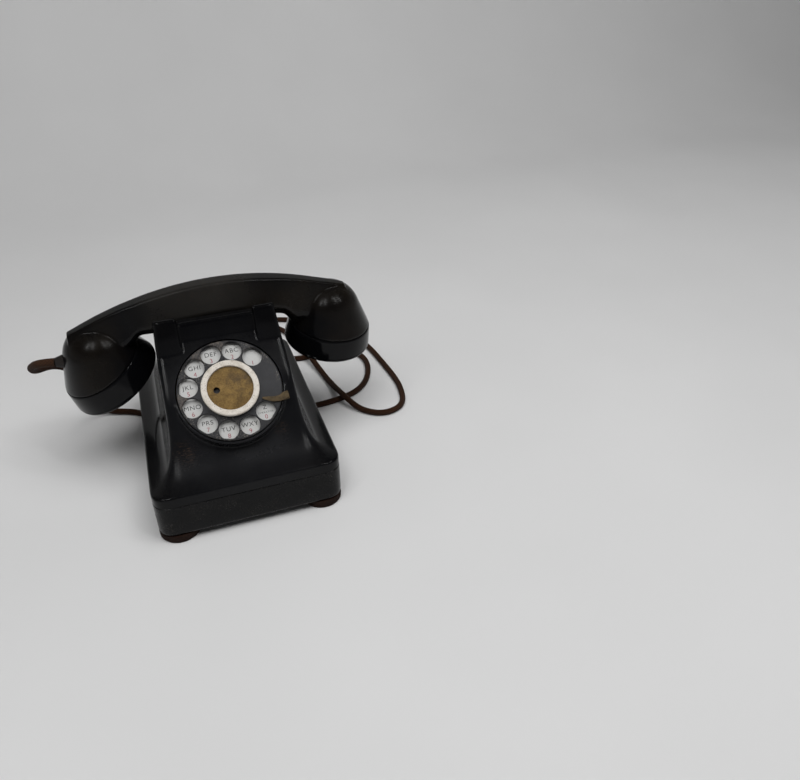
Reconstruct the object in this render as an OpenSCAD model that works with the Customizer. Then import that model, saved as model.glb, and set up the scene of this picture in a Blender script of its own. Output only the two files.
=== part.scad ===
// Rotary dial desk telephone: moulded housing with a handset cradle, dial, ringer and handset.
// Millimetres, X to the right, Y to the back, Z up, table top at Z = 0.

/* [Base] */
// Width of the base pan at its top edge
base_w = 139; // [130:1:148]
// Depth of the base pan from front to back
base_d = 200; // [192:1:208]
// Height of the leather feet
foot_h = 6.4; // [6.2:0.1:8]
// Diameter of a leather foot
foot_d = 31; // [26:1:33]
// Height at which the housing sits on the pan
seam_z = 34.3; // [32:0.5:36]

/* [Housing] */
// Height of the ridge round the foot of the housing
ridge_z = 42.4; // [41:0.2:44]
// Half width of the housing at the top of its face
top_w = 46.2; // [44:0.2:48]
// Height of the two front cradle horns
horn_z = 139.6; // [137:0.2:142]
// Height of the two rear cradle horns
rear_horn_z = 134.6; // [132:0.2:136]
// Height of the seat that the handset rests on
saddle_z = 119.3; // [118.5:0.1:119.4]
// Thickness of the moulded wall
wall = 3.4; // [3:0.2:4]

/* [Dial] */
// Tilt of the dial from the horizontal, degrees
dial_tilt = 42.1; // [40:0.1:44]
// Diameter of the finger wheel
wheel_d = 76.2; // [74:0.2:77]
// Radius of the circle of finger holes
hole_ring_r = 30.2; // [29.5:0.1:30.5]
// Diameter of a finger hole
hole_d = 14.5; // [13:0.1:15]

/* [Handset] */
// How far the handset leans back in its cradle, degrees
handset_lean = 8; // [0:0.5:8]
// Height of the top of the handle
handle_top_z = 154.6; // [153:0.2:156]
// Half width of the handle
handle_w = 16.6; // [15:0.2:17]
// Outer radius of the mouthpiece cap
cap_r = 36.9; // [36.4:0.1:37.4]
// Tilt of the mouthpiece towards the speaker, degrees
mouth_tilt = 27; // [22:1:30]
// Tilt of the earpiece, degrees
ear_tilt = 8.7; // [6:0.1:12]

/* [Cord] */
// Diameter of the braided cord
cord_d = 5.4; // [5:0.1:5.6]

/* [Hidden] */

bakelite = "#17181a";
leather = "#5b2f1f";
brass = "#b39455";
steel = "#9a9da1";
enamel = "#e9e8e4";
braid = "#5d4335";
fibre = "#6b4630";

$fn = 48;
eps = 0.02;

// The handset reaches further to the right than to the left, so the base stands
// left of the origin and the whole telephone is centred on it.
ear_c = [93.7, 99.8];
mouth_c = [-88.4, 95.7];
bell_r = cap_r - 3.9;
seam_r = bell_r + 0.6;
ear_rim_r = cap_r - 1.3;
ear_reach = ear_c[0] + seam_r * cos(ear_tilt);
mouth_reach = -mouth_c[0] + seam_r * cos(mouth_tilt);
body_x = -(ear_reach - mouth_reach) / 2;

module at_body() { translate([body_x, 0, 0]) children(); }

// ---- shared geometry -------------------------------------------------------

// Corner points of a polygon, each corner rounded by a short parabola.
function rounded(c, cut, steps = 4) = [for (i = [0:len(c) - 1])
    let (n = len(c), p = c[i], a = c[(i + n - 1) % n], b = c[(i + 1) % n],
         d = is_list(cut) ? cut[i] : cut,
         s = p + (a - p) * min(0.49, d / norm(a - p)),
         e = p + (b - p) * min(0.49, d / norm(b - p)))
    for (k = [0:steps]) let (t = k / steps)
        (1 - t) * (1 - t) * s + 2 * t * (1 - t) * p + t * t * e];

// A skin through a list of rings of equal length, closed at both ends.
module loft(rings) {
    n = len(rings[0]);
    m = len(rings);
    pts = [for (r = rings) for (p = r) p];
    sides = [for (i = [0:m - 2]) for (j = [0:n - 1])
        [i * n + j, (i + 1) * n + j, (i + 1) * n + (j + 1) % n, i * n + (j + 1) % n]];
    polyhedron(pts, concat([[for (j = [0:n - 1]) j]], sides,
        [[for (j = [n - 1:-1:0]) (m - 1) * n + j]]), convexity = 6);
}

// Rounded rectangle in the XY plane, four true corners.
module round_rect(w, d, r) {
    square([w - 2 * r, d], center = true);
    square([w, d - 2 * r], center = true);
    for (x = [-1, 1]) for (y = [-1, 1])
        translate([x * (w / 2 - r), y * (d / 2 - r)]) circle(r);
}

// A tube of radius r between two radii of a washer.
module ring(r_out, r_in, h) {
    difference() {
        cylinder(r = r_out, h = h);
        translate([0, 0, -1]) cylinder(r = r_in, h = h + 2);
    }
}

// ---- housing ---------------------------------------------------------------

dial_c = [0, -54.3, 94];
face_top = [-30, 116];
horn_front = -20.6;
seat_front = -8.4;
seat_back = 30;
inner_top_z = saddle_z - 4.5;
lean_out = 0.05;

// Sum of a long flare and a short toe, both measured down from the top of the face.
function drop(z) = max(0, (face_top[1] - z) / (face_top[1] - ridge_z));
function half_width(z) = top_w + lean_out * max(0, face_top[1] - z)
    + 10 * pow(drop(z), 6) + 8.4 * pow(drop(z), 25)
    - 0.08 * max(0, z - face_top[1]);
function back_y(z) = 44 + 0.42 * max(0, face_top[1] - z) + 25.1 * pow(drop(z), 4)
    - 0.14 * max(0, z - face_top[1]);

// Front outline in Y and Z: cove above the ridge, steep face, then the dial plane.
cove = [[-99, ridge_z], [-79.5, 50.3], [-69, 68.5]];
bend = [[-59.3, 85.3], [-54.3, 94], [-46.9, 100.7]];
function bow(p, t) = (1 - t) * (1 - t) * p[0] + 2 * t * (1 - t) * p[1] + t * t * p[2];
front_line = concat([for (i = [0:8]) bow(cove, i / 8)], [for (i = [0:4]) bow(bend, i / 4)],
    [face_top, [(face_top[0] + horn_front) / 2, (face_top[1] + horn_z) / 2],
     [horn_front + 0.5, horn_z - 1.6], [horn_front + 1.8, horn_z]]);

function corner_r(z) = 3 + 7 * pow(drop(z), 5);

// One level of the skin, pulled in by the given wall.
function level(y_front, y_back, w, r, z) = [for (p = rounded(
    [[-w, y_front], [w, y_front], [w, y_back], [-w, y_back]], r * 1.4, 5)) [p[0], p[1], z]];
function outer_level(p) = level(p[0], back_y(p[1]), half_width(p[1]), corner_r(p[1]), p[1]);
// The inner face also drops by the wall where the skin flares out flat.
function inner_level(p) = level(p[0] + wall * 1.5, back_y(p[1]) - wall * 1.25,
    half_width(p[1]) - wall, max(1, corner_r(p[1]) - 1), p[1] - wall * pow(drop(p[1]), 4));
lip_w = base_w / 2;
lip_y = base_d / 2;
function lip_level(inset, z) = level(-lip_y + inset, lip_y - inset, lip_w - inset, 10 - inset, z);

module housing_skin() {
    loft(concat([lip_level(0, seam_z), lip_level(0.1, ridge_z - 1.2), lip_level(0.4, ridge_z - 0.4)],
        [for (p = front_line) outer_level(p)]));
}

module housing_hollow() {
    under = [for (p = front_line) if (p[1] > ridge_z + 1 && p[1] < inner_top_z) p];
    top = [face_top[0] - (face_top[1] - inner_top_z) / tan(dial_tilt), inner_top_z];
    loft(concat([lip_level(wall, seam_z - 1), lip_level(wall, ridge_z - wall - 0.4)],
        [for (p = under) inner_level(p)], [inner_level(top)]));
}

// Solid seen from the side, spread along X between two planes.
module across(x0, x1) {
    translate([x0, 0, 0]) rotate([90, 0, 90]) linear_extrude(x1 - x0) children();
}

module on_dial() { translate(dial_c) rotate([dial_tilt, 0, 0]) children(); }

collar_r = 40.6;
case_r = 38.9;
collar_h = 26;
module dial_collar() {
    on_dial() translate([0, 0, -collar_h]) cylinder(r = collar_r, h = collar_h - 1.2, $fn = 96);
}

rib_x = 28.2;
bar_front = [-18, 133.7];
crease = [dial_c[1] + (122 - dial_c[2]) / tan(dial_tilt), 122];
plunger_x = 36;
plunger_y = 11;
plunger_r = 3.9;

module cradle_cuts() {
    // trough for the handle, open to both sides, its edges sloping back to a narrow crest
    across(-60, 60) polygon(rounded([[seat_front - 8.6, horn_z + 20], [seat_front - 8.6, horn_z + 0.6],
        [seat_front, horn_z - 7], [seat_front + 1, saddle_z], [seat_back - 1, saddle_z],
        [seat_back, rear_horn_z - 5], [seat_back + 5, rear_horn_z + 0.6], [seat_back + 5, horn_z + 20]],
        [0.1, 2, 5, 7, 7, 5, 2, 0.1], 4));
    // rear horns stand lower than the front ones
    across(-60, 60) polygon([[seat_back - 2, rear_horn_z], [70, rear_horn_z], [70, horn_z + 20],
        [seat_back - 2, horn_z + 20]]);
    // recess between the front horns, down to the plane of the dial
    across(-rib_x, rib_x) polygon([[-70, dial_c[2] + (-70 - dial_c[1]) * tan(dial_tilt)],
        crease, bar_front, [bar_front[0] + 2, bar_front[1] + 0.9], [seat_front + 3, bar_front[1] + 0.9],
        [seat_front + 3, horn_z + 20], [-70, horn_z + 20]]);
    // the same between the rear horns, with a scoop for the fingers below the bar
    across(-rib_x, rib_x) polygon([[seat_back - 3, horn_z + 20], [seat_back - 3, bar_front[1]],
        [38, bar_front[1]], [40, 131], [41, 124], [70, 124], [70, horn_z + 20]]);
    across(-rib_x, rib_x) translate([66, 106]) circle(r = 20);
}

module plunger_bores(r, z0) {
    for (x = [-1, 1]) translate([x * plunger_x, plunger_y, z0])
        cylinder(r = r, h = saddle_z - z0 + 1);
}

screw_post = [[-24, -89], [24, -89], [0, 88]];
post_r = 4.5;
post_top_z = ridge_z + 2;

module housing() {
    color(bakelite) at_body() {
        difference() {
            union() {
                difference() {
                    housing_skin();
                    cradle_cuts();
                    housing_hollow();
                }
                intersection() {
                    dial_collar();
                    translate([-60, -120, seam_z]) cube([120, 140, 90]);
                }
            }
            on_dial() translate([0, 0, -collar_h - 20]) cylinder(r = case_r, h = collar_h + 30, $fn = 96);
            plunger_bores(plunger_r + 0.3, inner_top_z - 2);
        }
        for (p = screw_post) translate([p[0], p[1], floor_z]) difference() {
            cylinder(r = post_r, h = post_top_z - floor_z);
            translate([0, 0, -1]) cylinder(r = screw_r + 0.02, h = 19);
        }
    }
}

// ---- base ------------------------------------------------------------------

pan_t = 2;
floor_z = foot_h + pan_t;
screw_r = 1.58;
pan_r = 10;
foot_at = [for (x = [-1, 1]) for (y = [-1, 1]) [x * 54.5, y * 85.5]];
grommet_x = 22;
line_grommet_x = -30;
grommet_z = 18.5;

function pan_level(inset, z) = [for (p = rounded([[-base_w / 2 + inset, -base_d / 2 + inset],
    [base_w / 2 - inset, -base_d / 2 + inset], [base_w / 2 - inset, base_d / 2 - inset],
    [-base_w / 2 + inset, base_d / 2 - inset]], (pan_r - inset / 2) * 1.4, 6)) [p[0], p[1], z]];

module base_pan() {
    bevel = [for (i = [0:4]) [3.2 * (1 - sin(i * 22.5)), foot_h + 3.2 * (1 - cos(i * 22.5))]];
    color(bakelite) at_body() difference() {
        loft(concat([for (b = bevel) pan_level(b[0], b[1])], [pan_level(0, seam_z)]));
        loft([pan_level(3.4, floor_z), pan_level(pan_t, foot_h + 5), pan_level(pan_t, seam_z + 1)]);
        for (x = [grommet_x, line_grommet_x]) translate([x, base_d / 2 - 8, grommet_z])
            rotate([-90, 0, 0]) cylinder(r = 5, h = 20);
        for (p = screw_post) translate([p[0], p[1], 0]) cylinder(r = 2.2, h = 20);
        for (p = foot_at) translate([p[0], p[1], 0]) cylinder(r = 1.5, h = 20);
    }
}

module feet() {
    color(leather) at_body() for (p = foot_at) translate([p[0], p[1], 0]) difference() {
        rotate_extrude($fn = 64) polygon(rounded([[0, 0], [foot_d / 2 - 1, 0], [foot_d / 2, foot_h / 2],
            [foot_d / 2 - 1, foot_h], [0, foot_h]], [0.01, 1.2, 2, 1.2, 0.01], 3));
        translate([0, 0, -1]) cylinder(r = 3.2, h = 3.5);
        translate([0, 0, -1]) cylinder(r = 1.5, h = 20);
    }
}

module foot_rivets() {
    color(brass) at_body() for (p = foot_at) translate([p[0], p[1], 0]) {
        translate([0, 0, 1.2]) cylinder(r = 3, h = 1.3);
        translate([0, 0, 2]) cylinder(r = 1.45, h = floor_z - 1);
        translate([0, 0, floor_z]) cylinder(r = 2.6, h = 1);
    }
}

module housing_screws() {
    color(steel) at_body() for (p = screw_post) translate([p[0], p[1], 0]) {
        translate([0, 0, foot_h - 1.8]) difference() {
            cylinder(r = 3.6, h = 1.8);
            translate([-0.5, -4, -1]) cube([1, 8, 1.8]);
        }
        translate([0, 0, foot_h - eps]) cylinder(r = screw_r, h = 14);
    }
}

// ---- dial ------------------------------------------------------------------

hole_start = 46.5;
hole_step = 30;
wheel_t = 2;
rim_drop = 2.2;
hub_r = 19.6;
hub_h = 3.4;
shaft_r = 3;
run = 0.05;
plate_z = -5;
case_floor_z = plate_z - 0.8;
frame_z = -19;

module finger_wheel() {
    color(bakelite) at_body() on_dial() difference() {
        rotate_extrude($fn = 120) polygon(concat([[shaft_r + run, -wheel_t], [wheel_d / 2 - 1.8, -wheel_t],
            [wheel_d / 2 - 1.8, -wheel_t - rim_drop], [wheel_d / 2 - 0.5, -wheel_t - rim_drop],
            [wheel_d / 2, -wheel_t - rim_drop + 0.6], [wheel_d / 2, -0.9], [wheel_d / 2 - 0.5, -0.3],
            [wheel_d / 2 - 1.6, 0], [hub_r + 1.2, 0], [hub_r + 0.3, 0.4], [hub_r, 1.2], [hub_r, hub_h],
            [hub_r - 1.2, hub_h], [hub_r - 1.2, 0], [shaft_r + run, 0]]));
        for (i = [0:9]) rotate([0, 0, hole_start + i * hole_step]) translate([hole_ring_r, 0, 0]) {
            translate([0, 0, -wheel_t - 1]) cylinder(d = hole_d, h = wheel_t + 2);
            translate([0, 0, -0.5]) cylinder(d1 = hole_d, d2 = hole_d + 1, h = 0.5 + eps);
        }
    }
}

ring_in = 16.6;
ring_out = 21;
module card_ring() {
    color(enamel) at_body() on_dial() translate([0, 0, hub_h]) rotate_extrude($fn = 96)
        polygon(rounded([[ring_in, 0.9], [ring_in, 2.1], [ring_out, 2.1], [ring_out, -1.2],
            [hub_r + 0.05, -1.2], [hub_r + 0.05, 0.05], [ring_in, 0.05]],
            [0.01, 0.8, 1, 0.4, 0.01, 0.01, 0.01], 3));
}

module card_plate() {
    color(brass) at_body() on_dial() translate([0, 0, hub_h - 0.75]) difference() {
        cylinder(r = hub_r - 1.3, h = 0.7, $fn = 96);
        translate([-9.8, 0.2, -1]) cylinder(r = 2.4, h = 3);
    }
}

module main_shaft() {
    color(steel) at_body() on_dial() {
        translate([0, 0, frame_z - 4]) cylinder(r = 2, h = 6);
        translate([0, 0, frame_z + 2]) cylinder(r = shaft_r, h = 0.4 - frame_z);
    }
}

// Spur gear blank with straight-sided teeth, wide backlash.
module gear(teeth, m, h, bore) {
    a = 360 / teeth;
    r = teeth * m / 2;
    linear_extrude(h) difference() {
        polygon([for (i = [0:teeth - 1]) for (q = [[-0.26, -0.9], [-0.08, 0.6], [0.08, 0.6], [0.26, -0.9]])
            (r + q[1] * m) * [cos((i + q[0]) * a), sin((i + q[0]) * a)]]);
        circle(bore);
    }
}

gear_m = 0.8;
main_teeth = 60;
pinion_teeth = 12;
second_m = 0.5;
second_teeth = 30;
last_teeth = 8;
gear_z = -11;
second_z = -15.5;
pulse_at = (main_teeth + pinion_teeth) * gear_m / 2 * [cos(200), sin(200)];
governor_at = pulse_at + (second_teeth + last_teeth) * second_m / 2 * [cos(62), sin(62)];

module main_gear() {
    color(brass) at_body() on_dial() translate([0, 0, gear_z]) {
        rotate([0, 0, 200]) gear(main_teeth, gear_m, 1.4, shaft_r);
        ring(6, shaft_r, 3);
    }
}

module pulse_wheel() {
    color(brass) at_body() on_dial() translate([pulse_at[0], pulse_at[1], 0]) {
        translate([0, 0, gear_z - 0.3])
            rotate([0, 0, 20 + 180 / pinion_teeth]) gear(pinion_teeth, gear_m, 2, 0.5);
        translate([0, 0, second_z]) rotate([0, 0, 62]) gear(second_teeth, second_m, 1.2, 0.5);
        translate([0, 0, frame_z - 1.2]) cylinder(r = 0.95, h = case_floor_z - frame_z + 0.8);
    }
}

module governor() {
    color(steel) at_body() on_dial() translate([governor_at[0], governor_at[1], 0]) {
        translate([0, 0, second_z - 0.3]) rotate([0, 0, 242 + 180 / last_teeth])
            gear(last_teeth, second_m, 1.8, 0.4);
        translate([0, 0, frame_z - 9.2]) cylinder(r = 0.75, h = 15.8);
        translate([0, 0, frame_z - 6]) difference() {
            union() {
                translate([-5, -0.5, 0]) cube([10, 1, 2.4]);
                for (s = [-1, 1]) translate([s * 5.2, 0, 0]) cylinder(r = 1.5, h = 2.4);
            }
            translate([0, 0, -1]) cylinder(r = 0.7, h = 5);
        }
    }
}

module governor_cup() {
    color(brass) at_body() on_dial() translate([governor_at[0], governor_at[1], frame_z - 9.4])
        difference() {
            cylinder(r = 8.6, h = 7.6);
            translate([0, 0, 0.8]) cylinder(r = 7.6, h = 8);
            translate([0, 0, -1]) cylinder(r = 0.8, h = 4);
        }
}

module dial_case() {
    color(bakelite) at_body() on_dial() {
        translate([0, 0, case_floor_z - 1.2]) difference() {
            cylinder(r = case_r - 0.1, h = 1.2, $fn = 96);
            translate([0, 0, -1]) cylinder(r = shaft_r + run, h = 4);
            translate([pulse_at[0], pulse_at[1], -1]) cylinder(r = 1, h = 4);
        }
        translate([0, 0, case_floor_z - 9]) ring(case_r - 0.1, case_r - 1.8, 8);
    }
}

module number_plate() {
    color(enamel) at_body() on_dial() translate([0, 0, case_floor_z]) difference() {
        cylinder(r = wheel_d / 2 - 0.5, h = 0.8, $fn = 96);
        translate([0, 0, -1]) cylinder(r = 14, h = 4);
    }
}

stop_blade = [[21, -11], [25.5, -11.2], [29.3, -12.2], [33.3, -12.2], [36.5, -10.2], [40.4, -9.5],
    [40.8, -15.4], [37, -16.4], [32.4, -16.3], [28, -15.6], [24.4, -14], [21, -12.2]];
stop_foot = [[37.9, -9.8], [40.4, -9.6], [40.8, -15.3], [36, -15.6]];
stop_z = 0.9;
module finger_stop() {
    color(brass) at_body() on_dial() {
        translate([0, 0, stop_z]) linear_extrude(1.2) polygon(rounded(stop_blade, 1.4));
        translate([0, 0, -1.2]) linear_extrude(1.2 + stop_z + eps) polygon(rounded(stop_foot, 0.5, 2));
    }
}

module dial_frame() {
    color(brass) at_body() on_dial() {
        translate([0, 0, frame_z - 1.5]) difference() {
            cylinder(r = 33, h = 1.5, $fn = 96);
            translate([0, 0, -1]) cylinder(r = 2 + run, h = 4);
            translate([pulse_at[0], pulse_at[1], -1]) cylinder(r = 1, h = 4);
            translate([governor_at[0], governor_at[1], -1]) cylinder(r = 0.8, h = 4);
            for (a = [20, 140, 260]) rotate([0, 0, a]) translate([29, 0, -1]) cylinder(r = 1.2, h = 4);
        }
        for (a = [20, 140, 260]) rotate([0, 0, a]) translate([29, 0, frame_z]) difference() {
            cylinder(r = 2.5, h = case_floor_z - 1.2 - frame_z);
            translate([0, 0, -1]) cylinder(r = 1.2, h = 8);
        }
    }
}

module dial_screws() {
    color(steel) at_body() on_dial() for (a = [20, 140, 260]) rotate([0, 0, a]) translate([29, 0, 0]) {
        translate([0, 0, frame_z - 3]) cylinder(r = 2.2, h = 1.5);
        translate([0, 0, frame_z - 1.6]) cylinder(r = 1.15, h = 8);
    }
}

module return_spring() {
    color(steel) at_body() on_dial() translate([0, 0, frame_z + 0.1]) ring(7, 4.2, 4);
}

module pulse_springs() {
    color(brass) at_body() on_dial() rotate([0, 0, 100]) translate([14, -12, 0]) {
        for (i = [0:2]) translate([i * 2, 0, second_z - 2.5]) cube([0.5, 22, 5]);
        translate([-1.2, 0, second_z - 3.4]) difference() {
            cube([7.4, 6, 6.6]);
            for (i = [0:2]) translate([1.15 + i * 2, -1, 0.85]) cube([0.6, 12, 5.2]);
        }
    }
}

// ---- cradle switch ---------------------------------------------------------

lever_y = 34;
lever_z = inner_top_z - 16;
lever_half = 40.8;
cheek_x = 41.1;
cheek_t = 1.8;
plunger_foot_z = lever_z + 0.65;
flange_z = inner_top_z - 9;

module plunger() {
    translate([0, plunger_y, plunger_foot_z]) cylinder(r = plunger_r, h = saddle_z + 1.5 - plunger_foot_z);
    translate([0, plunger_y, saddle_z + 1.5 - eps]) cylinder(r1 = plunger_r, r2 = plunger_r - 0.8, h = 0.7);
    translate([0, plunger_y, flange_z]) cylinder(r = plunger_r + 1.6, h = 1.4);
}
module plunger_left() { color(bakelite) at_body() translate([-plunger_x, 0, 0]) plunger(); }
module plunger_right() { color(bakelite) at_body() translate([plunger_x, 0, 0]) plunger(); }

module hook_lever() {
    arm = lever_y - plunger_y + 4;
    color(steel) at_body() translate([0, lever_y, lever_z]) difference() {
        union() {
            for (s = [-1, 1]) translate([s * plunger_x - 4, -arm, -1]) cube([8, arm, 1.5]);
            translate([-9, -20, -1]) cube([18, 20, 1.5]);
            translate([-lever_half, 0, 0]) rotate([0, 90, 0]) cylinder(r = 2.8, h = 2 * lever_half);
        }
        translate([-50, 0, 0]) rotate([0, 90, 0]) cylinder(r = 1.5 + run, h = 100);
    }
}

module hook_pivot() {
    reach = cheek_x + cheek_t;
    color(steel) at_body() translate([-reach, lever_y, lever_z])
        rotate([0, 90, 0]) cylinder(r = 1.5, h = 2 * reach);
}

bar_y = lever_y + 4.2;
module switch_bracket() {
    color(steel) at_body() difference() {
        union() {
            for (s = [-1, 1]) {
                translate([s * (cheek_x + cheek_t / 2) - cheek_t / 2, lever_y - 8, floor_z])
                    cube([cheek_t, 14, lever_z + 4 - floor_z]);
                translate([s * (cheek_x + 5) - 5, lever_y - 8, floor_z]) cube([10, 14, 1.8]);
            }
            translate([-cheek_x - 1, bar_y, 64]) cube([2 * cheek_x + 2, 1.8, 12]);
        }
        translate([-50, lever_y, lever_z]) rotate([0, 90, 0]) cylinder(r = 1.5 + eps, h = 100);
    }
}

blade_y = 10;
module contact_springs() {
    color(brass) at_body() translate([-10, blade_y, 70]) {
        for (i = [0:3]) for (row = [0, 1])
            translate([i * 5, row * 5, 0]) cube([3.4, 0.4, lever_z - 75 - row]);
        translate([-1.5, -1.5, -4]) difference() {
            cube([21.4, bar_y - blade_y + 1.5, 6]);
            for (i = [0:3]) for (y = [1.4, 6.4]) translate([1.4 + i * 5, y, 3.95]) cube([3.6, 0.6, 3]);
        }
    }
}

// ---- ringer ----------------------------------------------------------------

ring_z = 38;
coil_x = 13;
arm_y = 48;
gong_y = 68.5;
gong_x = 32;
gong_r = 27;

module ringer_frame() {
    color(steel) at_body() difference() {
        union() {
            translate([-40, 2, floor_z]) cube([80, 76, 1.8]);
            translate([-22, 2, floor_z]) cube([44, 2, 40]);
            for (s = [-1, 1]) translate([s * gong_x, gong_y, floor_z]) cylinder(r = 4, h = 17);
            for (z = [ring_z - 9, ring_z + 7]) translate([-5, 2, z]) cube([10, arm_y + 1, 2]);
        }
        for (s = [-1, 1]) translate([s * gong_x, gong_y, 0]) cylinder(r = 1.6, h = 60);
        translate([0, arm_y, 0]) cylinder(r = 1.03, h = 80);
        for (s = [-1, 1]) translate([s * coil_x, -4, ring_z]) rotate([-90, 0, 0]) cylinder(r = 3.02, h = 10);
    }
}

module ringer_cores() {
    color(steel) at_body() for (s = [-1, 1]) translate([s * coil_x, 1, ring_z]) rotate([-90, 0, 0]) {
        cylinder(r = 3, h = arm_y - 5.2);
    }
}

module ringer_coils() {
    color("#7a3b22") at_body() for (s = [-1, 1]) translate([s * coil_x, 6, ring_z]) rotate([-90, 0, 0])
        difference() {
            union() {
                cylinder(r = 8.5, h = 1.5);
                translate([0, 0, 1.5]) cylinder(r = 7.4, h = 31);
                translate([0, 0, 32.5]) cylinder(r = 8.5, h = 1.5);
            }
            translate([0, 0, -1]) cylinder(r = 3.04, h = 50);
        }
}

module ringer_magnet() {
    color("#6d6f73") at_body() translate([-7, -4.2, ring_z - 24]) cube([14, 6, 34]);
}

module gong() {
    rotate_extrude($fn = 72) polygon([[1.7, 12], [1.7, 13.2], [9, 13.1], [17, 11.8], [23, 8.6], [26, 4.4],
        [gong_r, 0], [gong_r - 1.3, 0], [24.8, 4], [22, 7.6], [16.4, 10.6], [9, 11.9], [4.4, 12]]);
}
gong_base_z = floor_z + 17 - 12;
module gong_left() { color(brass) at_body() translate([-gong_x, gong_y, gong_base_z]) gong(); }
module gong_right() { color(brass) at_body() translate([gong_x, gong_y, gong_base_z]) gong(); }

module gong_screws() {
    color(steel) at_body() for (s = [-1, 1]) translate([s * gong_x, gong_y, 0]) {
        translate([0, 0, gong_base_z + 13.2]) difference() {
            cylinder(r = 4, h = 2);
            translate([-0.5, -5, 1.2]) cube([1, 10, 2]);
        }
        translate([0, 0, floor_z + 4]) cylinder(r = 1.55, h = 22);
    }
}

module clapper() {
    color(steel) at_body() difference() {
        union() {
            translate([-20, arm_y - 2, ring_z - 6]) cube([40, 3.6, 12]);
            translate([0, arm_y, ring_z - 6.4]) cylinder(r = 3, h = 12.8);
            translate([-0.9, arm_y + 1, ring_z - 6]) cube([1.8, 5, 6]);
            translate([-0.9, arm_y + 4, ring_z - 19]) cube([1.8, 2, 16]);
            translate([0, arm_y + 4, ring_z - 18])
                rotate([-90, 0, 0]) cylinder(r = 0.9, h = gong_y - arm_y - 4);
            translate([0, gong_y, ring_z - 18]) sphere(r = 3.2);
        }
        translate([0, arm_y, 0]) cylinder(r = 1.05, h = 80);
    }
}

module clapper_pivot() {
    color(steel) at_body() translate([0, arm_y, ring_z - 10]) cylinder(r = 1, h = 20);
}

// ---- network ---------------------------------------------------------------

module induction_coil() {
    color("#54301f") at_body() translate([-50, -56, floor_z]) {
        cube([20, 4, 26]);
        translate([0, 44, 0]) cube([20, 4, 26]);
        translate([10, 3.98, 13]) rotate([-90, 0, 0]) cylinder(r = 9, h = 40.04);
    }
}

module condenser() {
    color("#8a8c8f") at_body() translate([20, -52, floor_z]) linear_extrude(24)
        translate([13, 22]) round_rect(26, 44, 3);
}

module terminal_board() {
    color(fibre) at_body() translate([-22, -56, floor_z]) difference() {
        union() {
            cube([36, 50, 5]);
            for (x = [3, 33]) for (y = [3, 47]) translate([x, y, 5]) cylinder(r = 2.4, h = 2);
        }
        for (i = [0:4]) for (x = [8, 18, 28]) translate([x, 7 + i * 9, 1]) cylinder(r = 1.2, h = 10);
    }
}

module terminal_screws() {
    color(brass) at_body() translate([-22, -56, floor_z + 5])
        for (i = [0:4]) for (x = [8, 18, 28]) translate([x, 7 + i * 9, 0]) {
            cylinder(r = 2.6, h = 1.6);
            translate([0, 0, -3.5]) cylinder(r = 1.15, h = 4);
        }
}

// ---- grommets and cord -----------------------------------------------------

cord_r = cord_d / 2;
grommet_reach = 3;

// Moulded bush, turned about its own axis, with a groove that grips the pan wall.
module grommet(bore) {
    rotate([-90, 0, 0]) rotate_extrude() polygon([[bore, -3.4], [6.4, -3.4], [6.4, -pan_t - 0.05],
        [4.95, -pan_t - 0.05], [4.95, 0.05], [6.4, 0.05], [6.2, 1.4], [4.4, grommet_reach],
        [bore, grommet_reach]]);
}
module cord_grommet() {
    color("#2b2420") at_body() translate([grommet_x, base_d / 2, grommet_z]) grommet(0);
}
module line_grommet() {
    color("#2b2420") at_body() translate([line_grommet_x, base_d / 2, grommet_z]) grommet(2.7);
}

// Route of the handset cord on the table, from the back of the base to the mouthpiece.
lie = cord_r + 0.02;
over = lie + cord_d + 0.6;
bush_x = -113.8;
bush_out = 5;
bush_end = [bush_x - bush_out, 11.1, 104.9];
route = [[grommet_x, base_d / 2 + grommet_reach, grommet_z], [21, 119, 13], [8, 143, lie],
    [-16, 178, lie], [8, 212, lie], [60, 214, lie], [116, 189, lie], [152, 135, lie],
    [161.5, 78, lie], [162.5, 32, lie], [153, 5, lie], [134, -0.5, lie], [117, 12, lie],
    [106.5, 30, over], [101, 73, lie], [92, 122, over], [88, 160, lie], [73, 193, lie],
    [46, 191, lie], [43, 146, lie], [84, 119, lie], [128, 124, lie], [145.5, 101, lie],
    [142, 70, lie], [124, 44, lie], [92, 33.5, lie], [44, 35, lie], [-42, 57, lie],
    [-66, 70, lie], [-80, 81, lie], [-96, 87, lie], [-106, 88.5, 7.5], [-110, 83, 21],
    [-113, 73, 44], [-117.5, 62, 68], [-130, 50, 81.5], [-139, 38, 85.5], [-140, 27, 95],
    [-132, 16, 103.7], bush_end];

// One more point half way along each stretch, on a smooth curve, never below the table.
function halfway(p, i) = let (n = len(p), a = p[max(0, i - 1)], d = p[min(n - 1, i + 2)],
    m = (9 * p[i] + 9 * p[i + 1] - a - d) / 16) [m[0], m[1], max(lie, m[2])];
function refined(p) = [for (i = [0:len(p) - 1]) for (q = i < len(p) - 1 ? [p[i], halfway(p, i)] : [p[i]]) q];

// Rings square to the route, the first and the last square to what they meet.
module tube(path, r, sides, start, end) {
    n = len(path);
    loft([for (i = [0:n - 1]) let (
        t = i == 0 ? start : i == n - 1 ? end : path[i + 1] - path[i - 1],
        u = t / norm(t), s = cross(u, [0, 0, 1]) / norm(cross(u, [0, 0, 1])), v = cross(s, u))
        [for (k = [0:sides - 1]) path[i] + r * (cos(k * 360 / sides) * s + sin(k * 360 / sides) * v)]]);
}
module handset_cord() {
    color(braid) at_body() tube(refined(route), cord_r, 10, [0, 1, 0], [1, 0, 0]);
}

// ---- handset ---------------------------------------------------------------

lean_c = [0, 11, 120];
neck_r = 30.5;
neck_h = 8;
mouth_depth = 19;
ear_depth = 19;

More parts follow.
